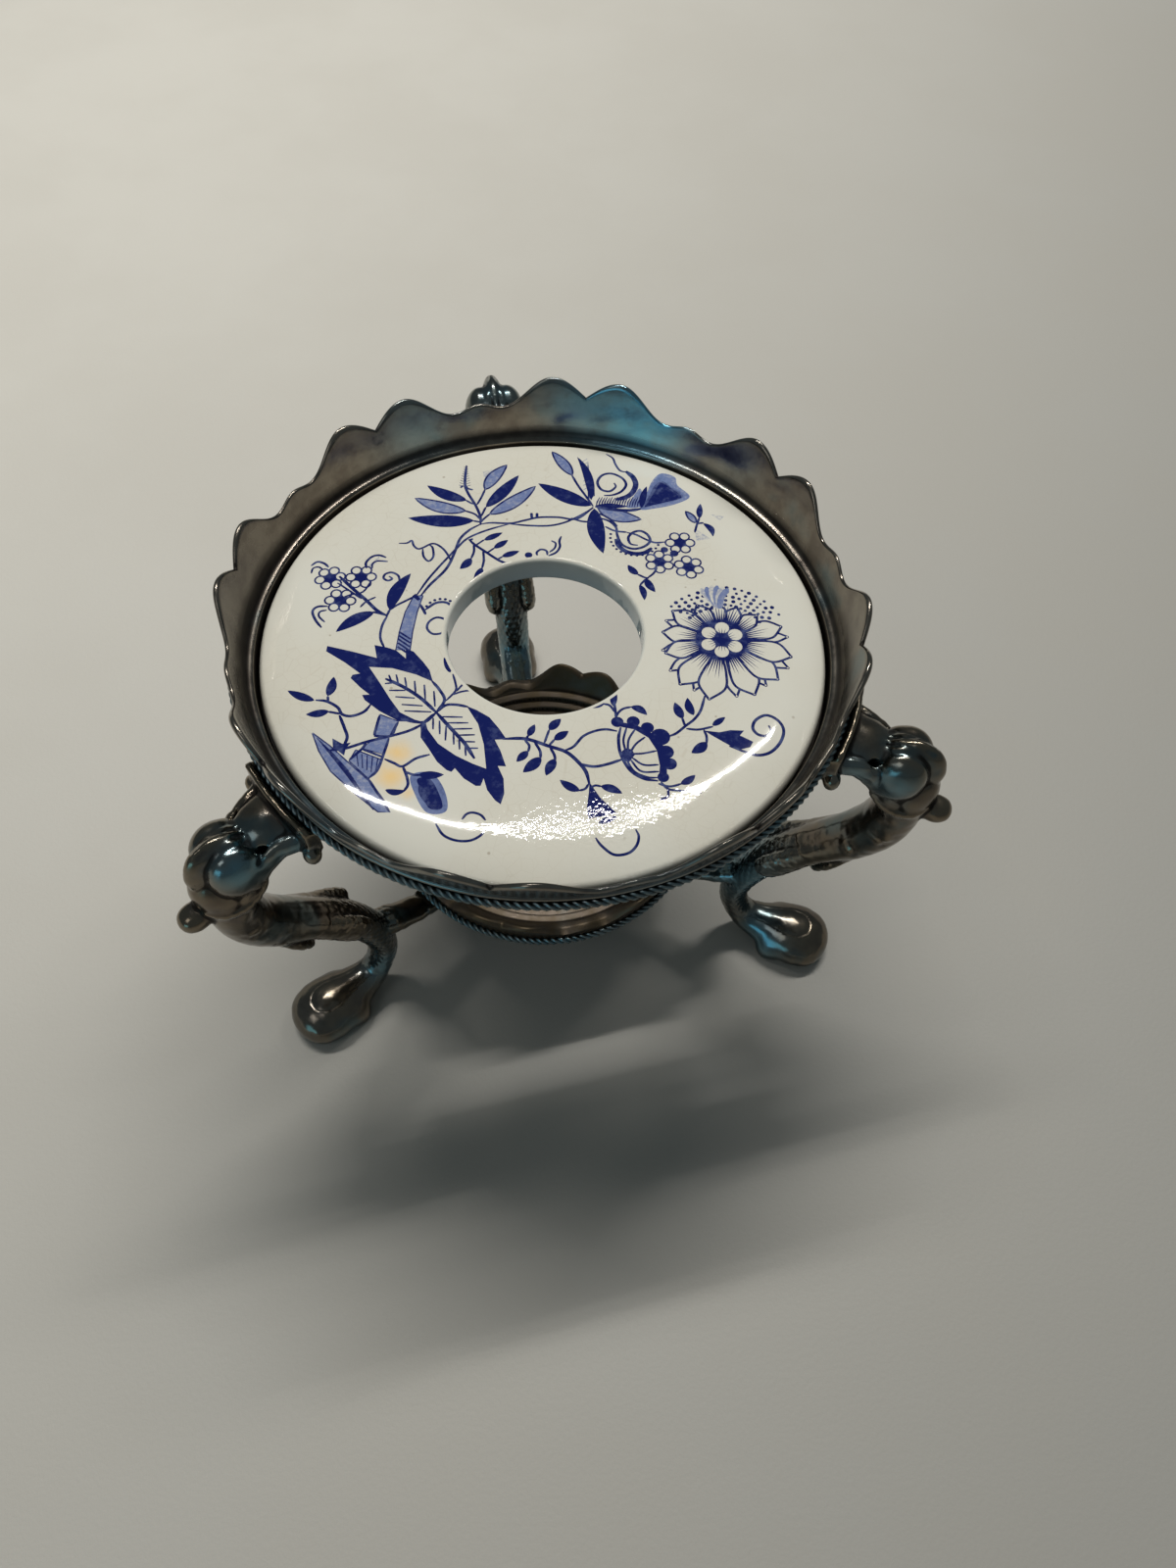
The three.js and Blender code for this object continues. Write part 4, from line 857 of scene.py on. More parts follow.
def print_shapes():
    """Every printed outline with its tone, later ones over earlier ones."""
    for part in (filled_patches, hatching, beading, leaves_and_blossoms, drawn_lines, big_flower):
        yield from part()


def inside(points, outline):
    """Which points lie inside a closed outline, by crossings of a ray along +X."""
    a, b = outline, np.roll(outline, -1, axis=0)
    px, py = points[:, :1], points[:, 1:]
    spans = (a[:, 1] > py) != (b[:, 1] > py)
    rise = np.where(b[:, 1] == a[:, 1], 1e-12, b[:, 1] - a[:, 1])
    cross = (b[:, 0] - a[:, 0]) * (py - a[:, 1]) / rise + a[:, 0]
    return (spans & (px < cross)).sum(axis=1) % 2 == 1


# The disc

# Points round the disc, the rolls of its edges, the depth over which the hole's wall takes its painted shade
# and blue tint, and the glaze's fall
DISC_STEPS, RING_STEPS = 300, 180
HOLE_ROLL, RIM_ROLL, RIM_DROP = 0.9, 1.5, 2.2
HOLE_SHADE = 1.6
SHOULDER_START, GLAZE_CURVE = 40.0, 3.3

# Patch of uneven glaze near the front: its middle and its reach across and along
PEEL_X, PEEL_Y, PEEL_ACROSS, PEEL_ALONG = 12.0, -44.0, 17.0, 8.0


def glaze_height(radius, outer):
    """Height of the disc's top at a radius, and its slope: flat, then falling gently to the rim."""
    share = np.clip((radius - SHOULDER_START) / (outer - SHOULDER_START), 0, 1)
    fall = mm(sizes().glaze_fall)
    slope = -GLAZE_CURVE * fall * share ** (GLAZE_CURVE - 1) / (outer - SHOULDER_START)
    return DISC_HIGH[2] - fall * share**GLAZE_CURVE, slope


def disc_wall(outer, inner):
    """Outline of the disc below its printed top, from the top's outer edge round to its inner one."""
    top, _ = glaze_height(outer - RIM_ROLL, outer)
    low = DISC_LOW[2]
    rows = []
    for k in range(1, 8):
        turn = math.radians(90 - 90 * k / 7)
        across, down = RIM_ROLL * (1 - math.cos(turn)), RIM_DROP * (1 - math.sin(turn))
        rows.append((outer - across, top - down))
    rows += [(outer, low + 1.2), (outer - 0.35, low + 0.35), (outer - 1.2, low), (outer - 6, low)]
    rows += [(inner + 3, low), (inner + 0.5, low), (inner + 0.1, low + 0.3), (inner, low + 0.8)]
    for k in range(0, 6):
        turn = math.radians(90 * k / 6)
        across, down = HOLE_ROLL * (1 - math.cos(turn)), HOLE_ROLL * (1 - math.sin(turn))
        rows.append((inner + across, DISC_HIGH[2] - down))
    return np.array(rows)


def ink_at(points, shapes):
    """Tone of the last shape that each point lies in, or no ink."""
    ink = np.zeros(len(points))
    for tone, outline in shapes:
        low, high = outline.min(axis=0), outline.max(axis=0)
        near = np.flatnonzero(((points >= low) & (points <= high)).all(axis=1))
        ink[near[inside(points[near], outline)]] = tone
    return ink


def printed_top(outer, inner):
    """Points, triangles and ink of the disc's top, cut along every printed outline, and the numbers
    of the points on its two edges."""
    first, last = inner + HOLE_ROLL, outer - RIM_ROLL
    loops = [circle(0, 0, radius, DISC_STEPS) for radius in (last, first)]
    for radius in np.linspace(SHOULDER_START, last, 10)[:-1]:
        loops.append(circle(0, 0, radius, RING_STEPS))
    shapes = []
    for tone, outline in print_shapes():
        outline = outline + PRINT_SHIFT
        reach = np.linalg.norm(outline, axis=1, keepdims=True)
        outline = outline * np.clip(reach, first + 0.05, last - 0.05) / np.maximum(reach, 1e-6)
        shapes.append((tone, outline))
    points, edges = [], []
    for outline in loops + [outline for _, outline in shapes]:
        start = len(points)
        points += [Vector(p) for p in outline.tolist()]
        edges += [(start + k, start + (k + 1) % len(outline)) for k in range(len(outline))]
    flat, _, faces, origin, _, _ = geometry.delaunay_2d_cdt(points, edges, [], 0, 1e-5)
    flat = np.array([tuple(p) for p in flat])
    faces = np.array([f for f in faces if len(f) == 3])
    centres = flat[faces].mean(axis=1)
    ring = inside(centres, loops[0]) & ~inside(centres, loops[1])
    faces, centres = faces[ring], centres[ring]
    corner = flat[faces]
    area = np.cross(corner[:, 1] - corner[:, 0], corner[:, 2] - corner[:, 0])
    faces[area < 0] = faces[area < 0][:, ::-1]
    found = {}
    for index, sources in enumerate(origin):
        for source in sources:
            found[source] = index
    outer_ring = [found[k] for k in range(DISC_STEPS)]
    inner_ring = [found[DISC_STEPS + k] for k in range(DISC_STEPS)]
    return flat, faces, ink_at(centres, shapes), outer_ring, inner_ring


def disc_mesh(outer, inner):
    """Points, their normals, triangles with their ink, and quads of the whole disc."""
    flat, top_faces, ink, outer_ring, inner_ring = printed_top(outer, inner)
    radius = np.linalg.norm(flat, axis=1)
    height, slope = glaze_height(radius, outer)
    points = np.column_stack([flat, height])
    normals = np.column_stack([
        -slope * flat[:, 0] / radius, -slope * flat[:, 1] / radius, np.ones(len(flat))
    ])
    wall = disc_wall(outer, inner)
    full = np.vstack([[outer - RIM_ROLL, wall[0][1] + 0.06], wall, [inner + HOLE_ROLL, DISC_HIGH[2]]])
    ahead = full[2:] - full[:-2]
    around = np.stack([-ahead[:, 1], ahead[:, 0]], axis=1)
    turn = np.linspace(0, 2 * np.pi, DISC_STEPS, endpoint=False)
    rows = [outer_ring]
    for (r, z), (nr, nz) in zip(wall, around):
        rows.append(list(len(points) + np.arange(DISC_STEPS)))
        level = np.column_stack([r * np.cos(turn), r * np.sin(turn), np.full(DISC_STEPS, z)])
        facing = np.column_stack([nr * np.cos(turn), nr * np.sin(turn), np.full(DISC_STEPS, nz)])
        points, normals = np.vstack([points, level]), np.vstack([normals, facing])
    rows.append(inner_ring)
    quads = []
    for upper, lower in zip(rows, rows[1:]):
        for k in range(DISC_STEPS):
            n = (k + 1) % DISC_STEPS
            quads.append((upper[k], lower[k], lower[n], upper[n]))
    normals /= np.linalg.norm(normals, axis=1, keepdims=True)
    return points, normals, top_faces.tolist(), ink, quads


def make_disc():
    """The porcelain disc with its print."""
    outer, inner = DISC_HIGH[0], mm(sizes().hole_radius)
    points, normals, top_faces, ink, quads = disc_mesh(outer, inner)
    mesh = bpy.data.meshes.new("printed_disc")
    mesh.from_pydata((points * MM).tolist(), [], top_faces + quads)
    mesh.shade_smooth()
    mesh.normals_split_custom_set_from_vertices(normals.tolist())
    mesh.materials.append(porcelain_material())
    inks = mesh.attributes.new("ink", "FLOAT", "CORNER")
    corner_ink = np.concatenate([np.repeat(ink, 3), np.zeros(4 * len(quads))])
    inks.data.foreach_set("value", corner_ink.astype(np.float32))
    piece = add_object("printed_disc", mesh)
    reach = np.linalg.norm(points[:, :2], axis=1)
    # Painted shade with a blue tint of light, growing down the hole's wall.
    depth = np.clip((DISC_HIGH[2] - points[:, 2]) / HOLE_SHADE, 0, 1)
    paint(piece, "hole", np.where(reach < inner + 0.6, depth, 0))
    across, along = (points[:, 0] - PEEL_X) / PEEL_ACROSS, (points[:, 1] - PEEL_Y) / PEEL_ALONG
    paint(piece, "peel", np.exp(-(across**2) - along**2))
    seat_piece(piece, "disc", "porcelain", "porcelain_disc")


# Turned metal

def relief(points, faces, rounds, depth):
    """Normal, hollow and wear of each vertex of a mesh of quads. Hollow and wear say how far it lies
    below or above its smoothed surroundings."""
    sides = np.vstack([faces[:, [k, (k + 1) % 4]] for k in range(4)])
    corner = points[faces]
    out = np.cross(corner[:, 2] - corner[:, 0], corner[:, 3] - corner[:, 1])
    normal = np.zeros_like(points)
    for k in range(4):
        for axis in range(3):
            normal[:, axis] += np.bincount(faces[:, k], out[:, axis], len(points))
    normal /= np.linalg.norm(normal, axis=1, keepdims=True) + 1e-12
    count = np.bincount(sides.ravel(), minlength=len(points)) + 1e-9
    soft = points.copy()
    for _ in range(rounds):
        moved = np.zeros_like(soft)
        for axis in range(3):
            moved[:, axis] = np.bincount(sides[:, 0], soft[sides[:, 1], axis], len(points))
            moved[:, axis] += np.bincount(sides[:, 1], soft[sides[:, 0], axis], len(points))
        soft = moved / count[:, None]
    height = ((soft - points) * normal).sum(axis=1) / depth
    return normal, np.clip(height, 0, 1), np.clip(-height, 0, 1)


def cast_piece(name, points, faces, material, rounds, depth, painted_shade_spots=()):
    """A metal piece with painted shade in its hollows and spots, deposit in the hollows, bright worn edges.
    """
    piece = new_piece(name, points, faces, material)
    _, hollow, wear = relief(points, faces, rounds, depth)
    # Painted shade: the hollows, with their dark deposit, and the given spots are darkened.
    paint(piece, "hollow", np.clip(hollow + soft_spots(points, painted_shade_spots), 0, 1))
    paint(piece, "wear", wear)
    return piece


def flare(foot, tip, tops, levels, bow):
    """Points from a foot up a flaring wall to each azimuth's top, shape (azimuths, levels, 2)."""
    share = np.linspace(0, 1, levels + 1)[1:]
    height = foot[1] + (tops[:, None] - foot[1]) * share
    climb = np.clip((height - foot[1]) / (tip[1] - foot[1]), 0, None)
    radius = foot[0] + (tip[0] - foot[0]) * climb**bow
    return np.stack([radius, height], axis=2)


def scalloped_wall(outer, inner, top, spread):
    """Outer wall, crown and inner wall of a scalloped lip, going up and down again. The crown has
    one point for each number in spread, which is its shift from the wall's middle."""
    crown = (outer[:, -1:] + inner[:, -1:]) / 2
    crown[:, :, 1] = top[:, None]
    crowns = [crown + (shift, 0) for shift in spread]
    return np.concatenate([outer, *crowns, inner[:, ::-1]], axis=1)


def turned(below, wall, above, azimuths, radii):
    """Points and quads of a turned piece: its wall, with the same rows before and after it all round."""
    before = np.repeat(np.array(below)[None], len(azimuths), axis=0)
    after = np.repeat(np.array(above)[None], len(azimuths), axis=0)
    return lathe(rounded(np.concatenate([before, wall, after], axis=1), radii), azimuths)


# Collar: its azimuths and first notch, the depths and angles of a scallop, its well, lip and dents
COLLAR_STEPS, COLLAR_NOTCH = 720, -8.5
COLLAR_SCALLOP = (3.9, 6.0, 4.9, 7, 17.5)
WELL_RADIUS, LIP_SPREAD = 56.7, 5.2
CROWN_HALF, COLLAR_ROUNDING, DENT = 0.32, 0.4, 0.035

# Painted blue-green reflection and painted shade on the collar, in soft spots: x, y, z, reach and strength
COLLAR_PAINTED_REFLECTION = (
    (20, 57, 98, 11, 0.95), (26, 57, 100, 6, 0.5), (6, 60, 100, 7, 0.4), (42, 44, 99, 6, 0.15),
    (-28, 54, 99, 9, 0.3), (-44, -44, 88, 12, 0.4), (-20, -60, 87, 13, 0.35), (20, -60, 87, 14, 0.3),
)
# Painted shade: soft darker spots on the left side of the collar's flare.
COLLAR_PAINTED_SHADE = ((-62, 6, 99, 22, 0.34), (-54, -30, 97, 16, 0.26), (-52, 34, 99, 14, 0.2))


def make_collar():
    """The turned collar with its flaring scalloped lip and the ledge that the disc lies on."""
    azimuths = COLLAR_NOTCH + np.arange(COLLAR_STEPS) * 360 / COLLAR_STEPS
    depth = scallop_depth(azimuths, sizes().collar_scallops, COLLAR_NOTCH, *COLLAR_SCALLOP)
    top = COLLAR_HIGH[2] - depth
    seat = COLLAR_LOW[2] + 1.3
    lip = mm(sizes().collar_lip)
    tip = WELL_RADIUS + LIP_SPREAD
    below = [
        (50.0, seat - 1.3), (56.9, seat - 1.3), (58.2, seat + 1.6), (60.0, seat + 6.0),
        (59.9, seat + 6.5), (59.45, seat + 6.6), (59.4, seat + 8.3), (60.35, seat + 8.5),
        (60.5, seat + 9.3), (59.95, seat + 9.75), (60.05, seat + 10.2), (60.6, seat + 10.6),
    ]
    above = [
        (58.9, seat + 6.9), (58.5, seat + 5.6), (57.9, seat + 4.95), (57.2, seat + 4.75),
        (56.8, seat + 4.5), (WELL_RADIUS, seat + 4.0), (WELL_RADIUS, seat), (50.0, seat),
    ]
    outer_tip, inner_tip = (tip + lip / 2, COLLAR_HIGH[2]), (tip - lip / 2, COLLAR_HIGH[2])
    outer = flare((60.6, seat + 10.9), outer_tip, top - lip * 0.45, levels=5, bow=1.15)
    inner = flare((59.0, seat + 7.4), inner_tip, top - lip * 0.45, levels=5, bow=1.15)
    wall = scalloped_wall(outer, inner, top, (CROWN_HALF, -CROWN_HALF))
    radii = np.full(len(below) + wall.shape[1] + len(above), COLLAR_ROUNDING)
    points, faces = turned(below, wall, above, azimuths, radii)
    points += DENT * smooth_noise(points, scale=5.0, seed=3)[:, None] * np.array([1, 1, 0.6])
    metal = metal_material("worn_silver", tints().silver, roughness=0.15, patches=0.56)
    # Painted shade: the collar's left side is darkened in soft spots.
    piece = cast_piece(
        "scalloped_collar", points, faces, metal, rounds=14, depth=0.3, painted_shade_spots=COLLAR_PAINTED_SHADE
    )
    # Painted reflection: blue-green spots on the collar where the blue-green light would be mirrored.
    paint_bloom(piece, points, COLLAR_PAINTED_REFLECTION)
    seat_piece(piece, "stand", "worn_metal", "collar")


# Dish: the same, with the steps round its floor and painted shade and deposit in the grooves at their feet
DISH_STEPS, DISH_NOTCH = 600, 74.7
DISH_SCALLOP = (1.8, 5.0, 4.0, 8.6, 22.5)
DISH_SPREAD, DISH_ROUNDING = 37.6, 0.32
FLOOR_RISE, FIRST_STEP, STEP_WIDTH, STEP_RISE = 3, 26.5, 2.2, 1.3
GROOVE_PLACE, GROOVE_WIDTH, GROOVES_END = 2.1, 0.35, 33.2


def make_dish():
    """The candle dish with its scalloped lip and stepped floor."""
    azimuths = DISH_NOTCH + np.arange(DISH_STEPS) * 360 / DISH_STEPS
    depth = scallop_depth(azimuths, sizes().dish_scallops, DISH_NOTCH, *DISH_SCALLOP)
    top = DISH_HIGH[2] - depth
    base = DISH_LOW[2]
    lip = mm(sizes().dish_lip)
    below = [
        (0.0, base + 0.6), (26.0, base + 0.6), (30.4, base + 0.5), (30.8, base), (32.8, base),
        (33.6, base + 0.8), (35.2, base + 3.0), (36.4, base + 4.3), (36.0, base + 4.6),
        (36.0, base + 6.6), (36.5, base + 6.9),
    ]
    floor = base + FLOOR_RISE
    above = []
    for k in (3, 2, 1):
        radius, height = FIRST_STEP + STEP_WIDTH * (k - 1), floor + STEP_RISE * k
        above += [(radius + 1.9, height), (radius + 0.5, height + 0.08)]
        above += [(radius, height - 0.1), (radius, height - 1.1)]
    above += [(26.2, floor), (20.0, floor), (19.6, floor + 0.25), (19.2, floor)]
    above += [(8.2, floor), (7.9, floor + 0.2), (7.6, floor), (0.0, floor)]
    outer_tip, inner_tip = (DISH_SPREAD + lip / 2, DISH_HIGH[2]), (DISH_SPREAD - lip / 2, DISH_HIGH[2])
    outer = flare((36.5, base + 7.4), outer_tip, top - lip * 0.4, levels=4, bow=1.2)
    inner = flare((33.3, base + 7.2), inner_tip, top - lip * 0.4, levels=4, bow=1.1)
    wall = scalloped_wall(outer, inner, top, (0.0,))
    radii = np.full(len(below) + wall.shape[1] + len(above), DISH_ROUNDING)
    radii[[0, -1]] = 0
    points, faces = turned(below, wall, above, azimuths, radii)
    metal = metal_material("dish_silver", tints().dish, roughness=0.44, patches=0.66)
    piece = new_piece("candle_dish_dressed", points, faces, metal)
    weld(piece)
    welded = points_of(piece)
    reach, height = np.linalg.norm(welded[:, :2], axis=1), welded[:, 2]
    # Painted shade and dark deposit: a dark line in the groove at the foot of each step.
    groove = 1 - np.abs((reach - FIRST_STEP) % STEP_WIDTH - GROOVE_PLACE) / GROOVE_WIDTH
    grooved = (reach < GROOVES_END) * (height > base + 2)
    paint(piece, "hollow", 0.7 * (np.clip(groove, 0, 1) * grooved))
    paint(piece, "wear", np.clip((height - DISH_HIGH[2] + 5) / 5, 0, 1) * 0.6)
    seat_piece(piece, "stand", "worn_metal", "candle_dish")


def weld(piece):
    """Closes the poles and seams of a turned mesh."""
    mesh = bmesh.new()
    mesh.from_mesh(piece.data)
    bmesh.ops.remove_doubles(mesh, verts=mesh.verts, dist=1e-7)
    bmesh.ops.dissolve_degenerate(mesh, edges=mesh.edges, dist=1e-8)
    mesh.to_mesh(piece.data)
    mesh.free()
    piece.data.shade_smooth()


# Rope rings, by Geometry Nodes

ROPE_LOBES, ROPE_SIDES, STRAND_STEPS = 3, 18, 5
LOBE_MIDDLE, LOBE_DEPTH = 0.83, 0.17
ROPE_INPUTS = (
    ("Ring radius", "Float"), ("Height", "Float"), ("Girth", "Float"), ("Strands", "Int"),
    ("Metal", "Material"),
)

# Radius of the walls that the ropes lie on, and where hollow ends and wear starts in parts of the girth
COLLAR_ROPE_WALL, DISH_ROPE_WALL = 59.5, 36.1
HOLLOW_END, HOLLOW_FADE, WEAR_START, WEAR_FADE = 0.84, 0.24, 0.86, 0.14


def rope_tree():
    """A closed ring of twisted strands: a lobed outline swept round a circle and turned as it goes."""
    tree = bpy.data.node_groups.new("rope_ring", "GeometryNodeTree")
    for name, kind in ROPE_INPUTS:
        tree.interface.new_socket(name=name, in_out="INPUT", socket_type=f"NodeSocket{kind}")
    tree.interface.new_socket(name="Geometry", in_out="OUTPUT", socket_type="NodeSocketGeometry")

    n = Tree(tree)
    given = n.add("NodeGroupInput").outputs
    index = n.add("GeometryNodeInputIndex")
    count = n.maths("MULTIPLY", given["Strands"], STRAND_STEPS)
    path = n.add("GeometryNodeCurvePrimitiveCircle", Resolution=count, Radius=given["Ring radius"])
    turn = n.maths("MULTIPLY", index, 2 * math.pi / (ROPE_LOBES * STRAND_STEPS))
    twisted = n.add("GeometryNodeSetCurveTilt", Curve=path, Tilt=turn)

    outline = n.add("GeometryNodeCurvePrimitiveCircle", Resolution=ROPE_SIDES, Radius=1.0)
    wave = n.maths("COSINE", n.maths("MULTIPLY", index, 2 * math.pi * ROPE_LOBES / ROPE_SIDES))
    swell = n.maths("ADD", n.maths("MULTIPLY", wave, LOBE_DEPTH), LOBE_MIDDLE)
    size = n.maths("MULTIPLY", swell, given["Girth"])
    scaled = n.add("ShaderNodeVectorMath", {"operation": "SCALE"}, Scale=size)
    n.put(scaled, "0", n.add("GeometryNodeInputPosition"))
    lobed = n.add("GeometryNodeSetPosition", Geometry=outline, Position=scaled)

    swept = n.add("GeometryNodeCurveToMesh", Curve=twisted, Profile_Curve=lobed)
    upward = n.add("ShaderNodeCombineXYZ", Z=given["Height"])
    lifted = n.add("GeometryNodeTransform", Geometry=swept, Translation=upward)
    real = n.add("GeometryNodeRealizeInstances", Geometry=lifted)
    dressed = n.add("GeometryNodeSetMaterial", Geometry=real, Material=given["Metal"])
    n.add("NodeGroupOutput", Geometry=dressed)
    return tree


def grown(name, tree, settings):
    """A plain mesh object from a Geometry Nodes tree with the given inputs."""
    seed = add_object(name + "_seed", bpy.data.meshes.new(name + "_seed"))
    modifier = seed.modifiers.new("shape", "NODES")
    modifier.node_group = tree
    for item in tree.interface.items_tree:
        if item.item_type == "SOCKET" and item.in_out == "INPUT":
            modifier[item.identifier] = settings[item.name]
    seen = seed.evaluated_get(bpy.context.evaluated_depsgraph_get())
    mesh = bpy.data.meshes.new_from_object(seen)
    mesh.name = name
    piece = add_object(name, mesh)
    bpy.data.objects.remove(seed)
    return piece


def make_ropes():
    """The two rope rings, with painted shade and deposit between strands and a painted reflection in front.
    """
    tree = rope_tree()
    metal = metal_material("rope_silver", tints().silver, roughness=0.25, patches=0.5)
    girth = sizes().rope_girth
    for name, node, wall, strands in (
        ("collar_rope", "collar_rope_ring", COLLAR_ROPE_WALL, sizes().collar_rope_strands),
        ("dish_rope", "dish_rope_ring", DISH_ROPE_WALL, sizes().dish_rope_strands),
    ):
        low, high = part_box(node)
        middle = (low[2] + high[2]) / 2
        piece = grown(name, tree, {
            "Ring radius": wall * MM + girth, "Height": middle, "Girth": girth,
            "Strands": strands, "Metal": metal,
        })
        piece.data.shade_smooth()
        points = points_of(piece)
        outward = np.linalg.norm(points[:, :2], axis=1) - wall - mm(girth)
        across = np.hypot(outward, points[:, 2] - mm(middle)) / mm(girth)
        # Painted shade and dark deposit between the strands; wear on their crests.
        paint(piece, "hollow", np.clip((HOLLOW_END - across) / HOLLOW_FADE, 0, 0.8))
        paint(piece, "wear", np.clip((across - WEAR_START) / WEAR_FADE, 0, 1))
        # Painted reflection: a blue-green tint on the rope's front.
        paint(piece, "bloom", np.clip(-points[:, 1] / wall, 0, 0.3))
        seat_piece(piece, "stand", "cast_metal", node)


# Cast legs: a figure built as a field of distances, then turned into a mesh

# Azimuth of each leg, and the box of its field in its own axes: out from the stand's axis, aside, up
LEG_ANGLES = (("leg_right", -20.7), ("leg_rear", 99.3), ("leg_left", 219.3))
LEG_LOW, LEG_HIGH = (23.0, -12.2, -0.6), (89.5, 12.2, 98.0)

# Limbs, as rows of out, aside, up, half depth and half width in millimetres
TRUNK = (
    (62.4, 0, 4.6, 3.0, 3.6), (56.0, 0, 5.6, 3.0, 3.4), (52.0, 0, 9.2, 2.9, 3.1),
    (50.0, 0, 14.8, 3.0, 3.2), (50.2, 0, 21.0, 3.1, 3.4), (52.4, 0, 29.5, 3.4, 3.7),
    (55.8, 0, 37.4, 3.6, 3.8), (60.4, 0, 44.6, 3.7, 4.0), (66.0, 0, 51.0, 4.1, 4.5),
    (71.6, 0, 57.8, 4.6, 5.2), (75.2, 0, 65.2, 4.8, 5.5), (76.4, 0, 72.6, 4.7, 5.4),
    (76.2, 0, 79.0, 4.4, 5.2),
)
BLOCK = (
    (61.4, 0, 89.0, 3.6, 5.8), (64.8, 0, 88.8, 3.4, 5.2), (68.2, 0, 87.8, 3.4, 5.0),
    (71.4, 0, 85.6, 3.4, 4.8),
)
STRAP = (
    (62.4, 6.8, 88.6, 2.2, 1.4), (65.2, 5.8, 88.2, 2.3, 1.2), (68.0, 5.5, 86.6, 2.3, 1.1),
    (70.6, 5.3, 84.0, 2.2, 1.1), (73.2, 5.0, 80.4, 2.1, 1.2), (75.2, 4.7, 76.4, 2.0, 1.4),
    (76.4, 4.3, 72.4, 1.9, 1.5),
)
SCARF = (
    (70.2, 5.5, 81.4, 0.8, 0.8), (72.8, 5.9, 79.0, 0.9, 0.9), (75.8, 5.6, 77.6, 0.9, 0.9),
    (78.8, 4.4, 77.0, 0.9, 0.9), (81.2, 2.4, 77.6, 0.7, 0.7),
)
WRINKLE = (
    (69.6, 0.7, 91.2, 0.3, 0.3), (72.4, 1.1, 93.2, 0.4, 0.4), (75.6, 1.2, 93.8, 0.4, 0.4),
    (78.4, 0.9, 92.4, 0.3, 0.3),
)
PETAL = (
    (69.0, 3.6, 55.0, 1.6, 1.5), (63.0, 3.8, 48.4, 2.1, 1.7), (58.4, 4.3, 43.0, 2.7, 1.8),
    (55.6, 4.6, 39.6, 2.8, 1.8),
)
STRUT = (
    (37.6, 0, 20.9, 1.9, 3.0), (42.6, 0, 22.9, 1.9, 3.0), (49.0, 0, 26.4, 2.1, 3.2),
)
FOOT = (
    (53.6, 0, 6.0, 3.0, 3.2), (58.0, 0, 4.8, 4.2, 4.2), (62.6, 0, 3.8, 5.4, 5.8),
    (67.0, 0, 3.4, 6.0, 7.4), (70.6, 0, 3.0, 5.7, 7.6),
)

# Rounded bodies, each with its place and its half sizes: out, aside, up
FIN = (69.6, 0, 47.6), (9.8, 3.8, 1.6)
FOOT_LOBE = (62.8, 4.8, 1.6), (3.4, 3.0, 4.2)
THROAT = (77.4, 0, 80.2), (5.0, 4.6, 6.4)
HEAD = (73.0, 0, 85.4), (6.2, 5.4, 7.8)
EAR_HOLLOW = (68.4, 5.4, 88.4), (1.6, 1.7, 3.0)
CHEEK = (73.2, 3.1, 85.6), (5.5, 3.9, 6.8)
CREST = (74.9, 0, 85.6), (6.9, 2.9, 8.2)
MUZZLE_KNOB = (83.2, 0.85, 74.8), (3.2, 2.0, 2.5)
PLATE_EAR = (61.6, 9.6, 87.2), (1.7, 1.9, 2.1)

# Plate against the collar: its back's radius and lean, its half sizes and its middle, and what it clears
PLATE_RADIUS, PLATE_LEAN, PLATE_HALF = 60.4, 0.03, 1.0
PLATE_SIDE, PLATE_RISE, PLATE_MIDDLE, PLATE_CORNER = 9.6, 4.2, 90.4, 1.5
COLLAR_WALL, WALL_TOP, WALL_SLOPE, WALL_GAP = 59.3, 93.2, 0.36, 0.3
ROPE_GROOVE_RADIUS, ROPE_GROOVE_HEIGHT, ROPE_GROOVE = 60.4, 94.4, 1.15

# What the screws hold: the bar and pad under the dish and the tab under the ledge, in half sizes
TAB_GAP, SCREW_HOLE = 0.3, 1.35
BAR_PLACE, BAR_LENGTH, BAR_WIDTH, BAR_THICK = 33.2, 4.5, 3.2, 1.5
PAD_PLACE, PAD_RADIUS = 28.7, 4.6
TAB_PLACE, TAB_LENGTH, TAB_WIDTH, TAB_THICK, LEDGE_SCREW_PLACE = 55.6, 6.9, 5.0, 1.25, 53.2

# Scales on the tail: how many go round, their shape and rise, and where they start and end
SCALES_ROUND, SCALE_WIDTH, SCALE_LENGTH, SCALE_EDGE, SCALE_RELIEF = 14, 0.56, 0.8, 2.2, 0.24
TAIL_LOW, TAIL_HIGH, TAIL_FADE = 9, 50, 5

# The strut stays bare: inside this distance from the axis, and this far from the tail's middle line
STRUT_END, TAIL_REACH, STRUT_FADE = 47.2, 5.6, 1.2

# Rough spots of the casting: out, aside, up, reach and strength; then the roughness elsewhere and there
PITTED = (
    (68.6, 4.8, 87.6, 2.4, 1), (71.6, 5.4, 82.0, 1.6, 1), (73.6, 5.6, 76.6, 2.0, 1),
    (75.6, 5.0, 67.0, 2.6, 1), (71.0, 4.6, 58.0, 2.2, 1),
)
SMOOTH_CAST, PITTED_CAST = 0.05, 0.42

# Painted blue-green reflection on each leg: out, aside, up, reach and strength
LEG_PAINTED_REFLECTION = {
    "leg_right": (
        (53, 0, 30, 13, 0.7), (64, -6, 87, 4, 0.6), (73, -6.6, 86, 4, 0.5), (60, -7, 4, 6, 0.5),
    ),
    "leg_left": (
        (74, 5.4, 90, 4.2, 0.55), (63, 6, 87, 4, 0.5), (51, 3, 12, 6, 0.6), (70, 0, 2, 5, 0.4),
    ),
    "leg_rear": ((52, 0, 24, 14, 0.5), (73, 0, 90, 8, 0.3)),
}


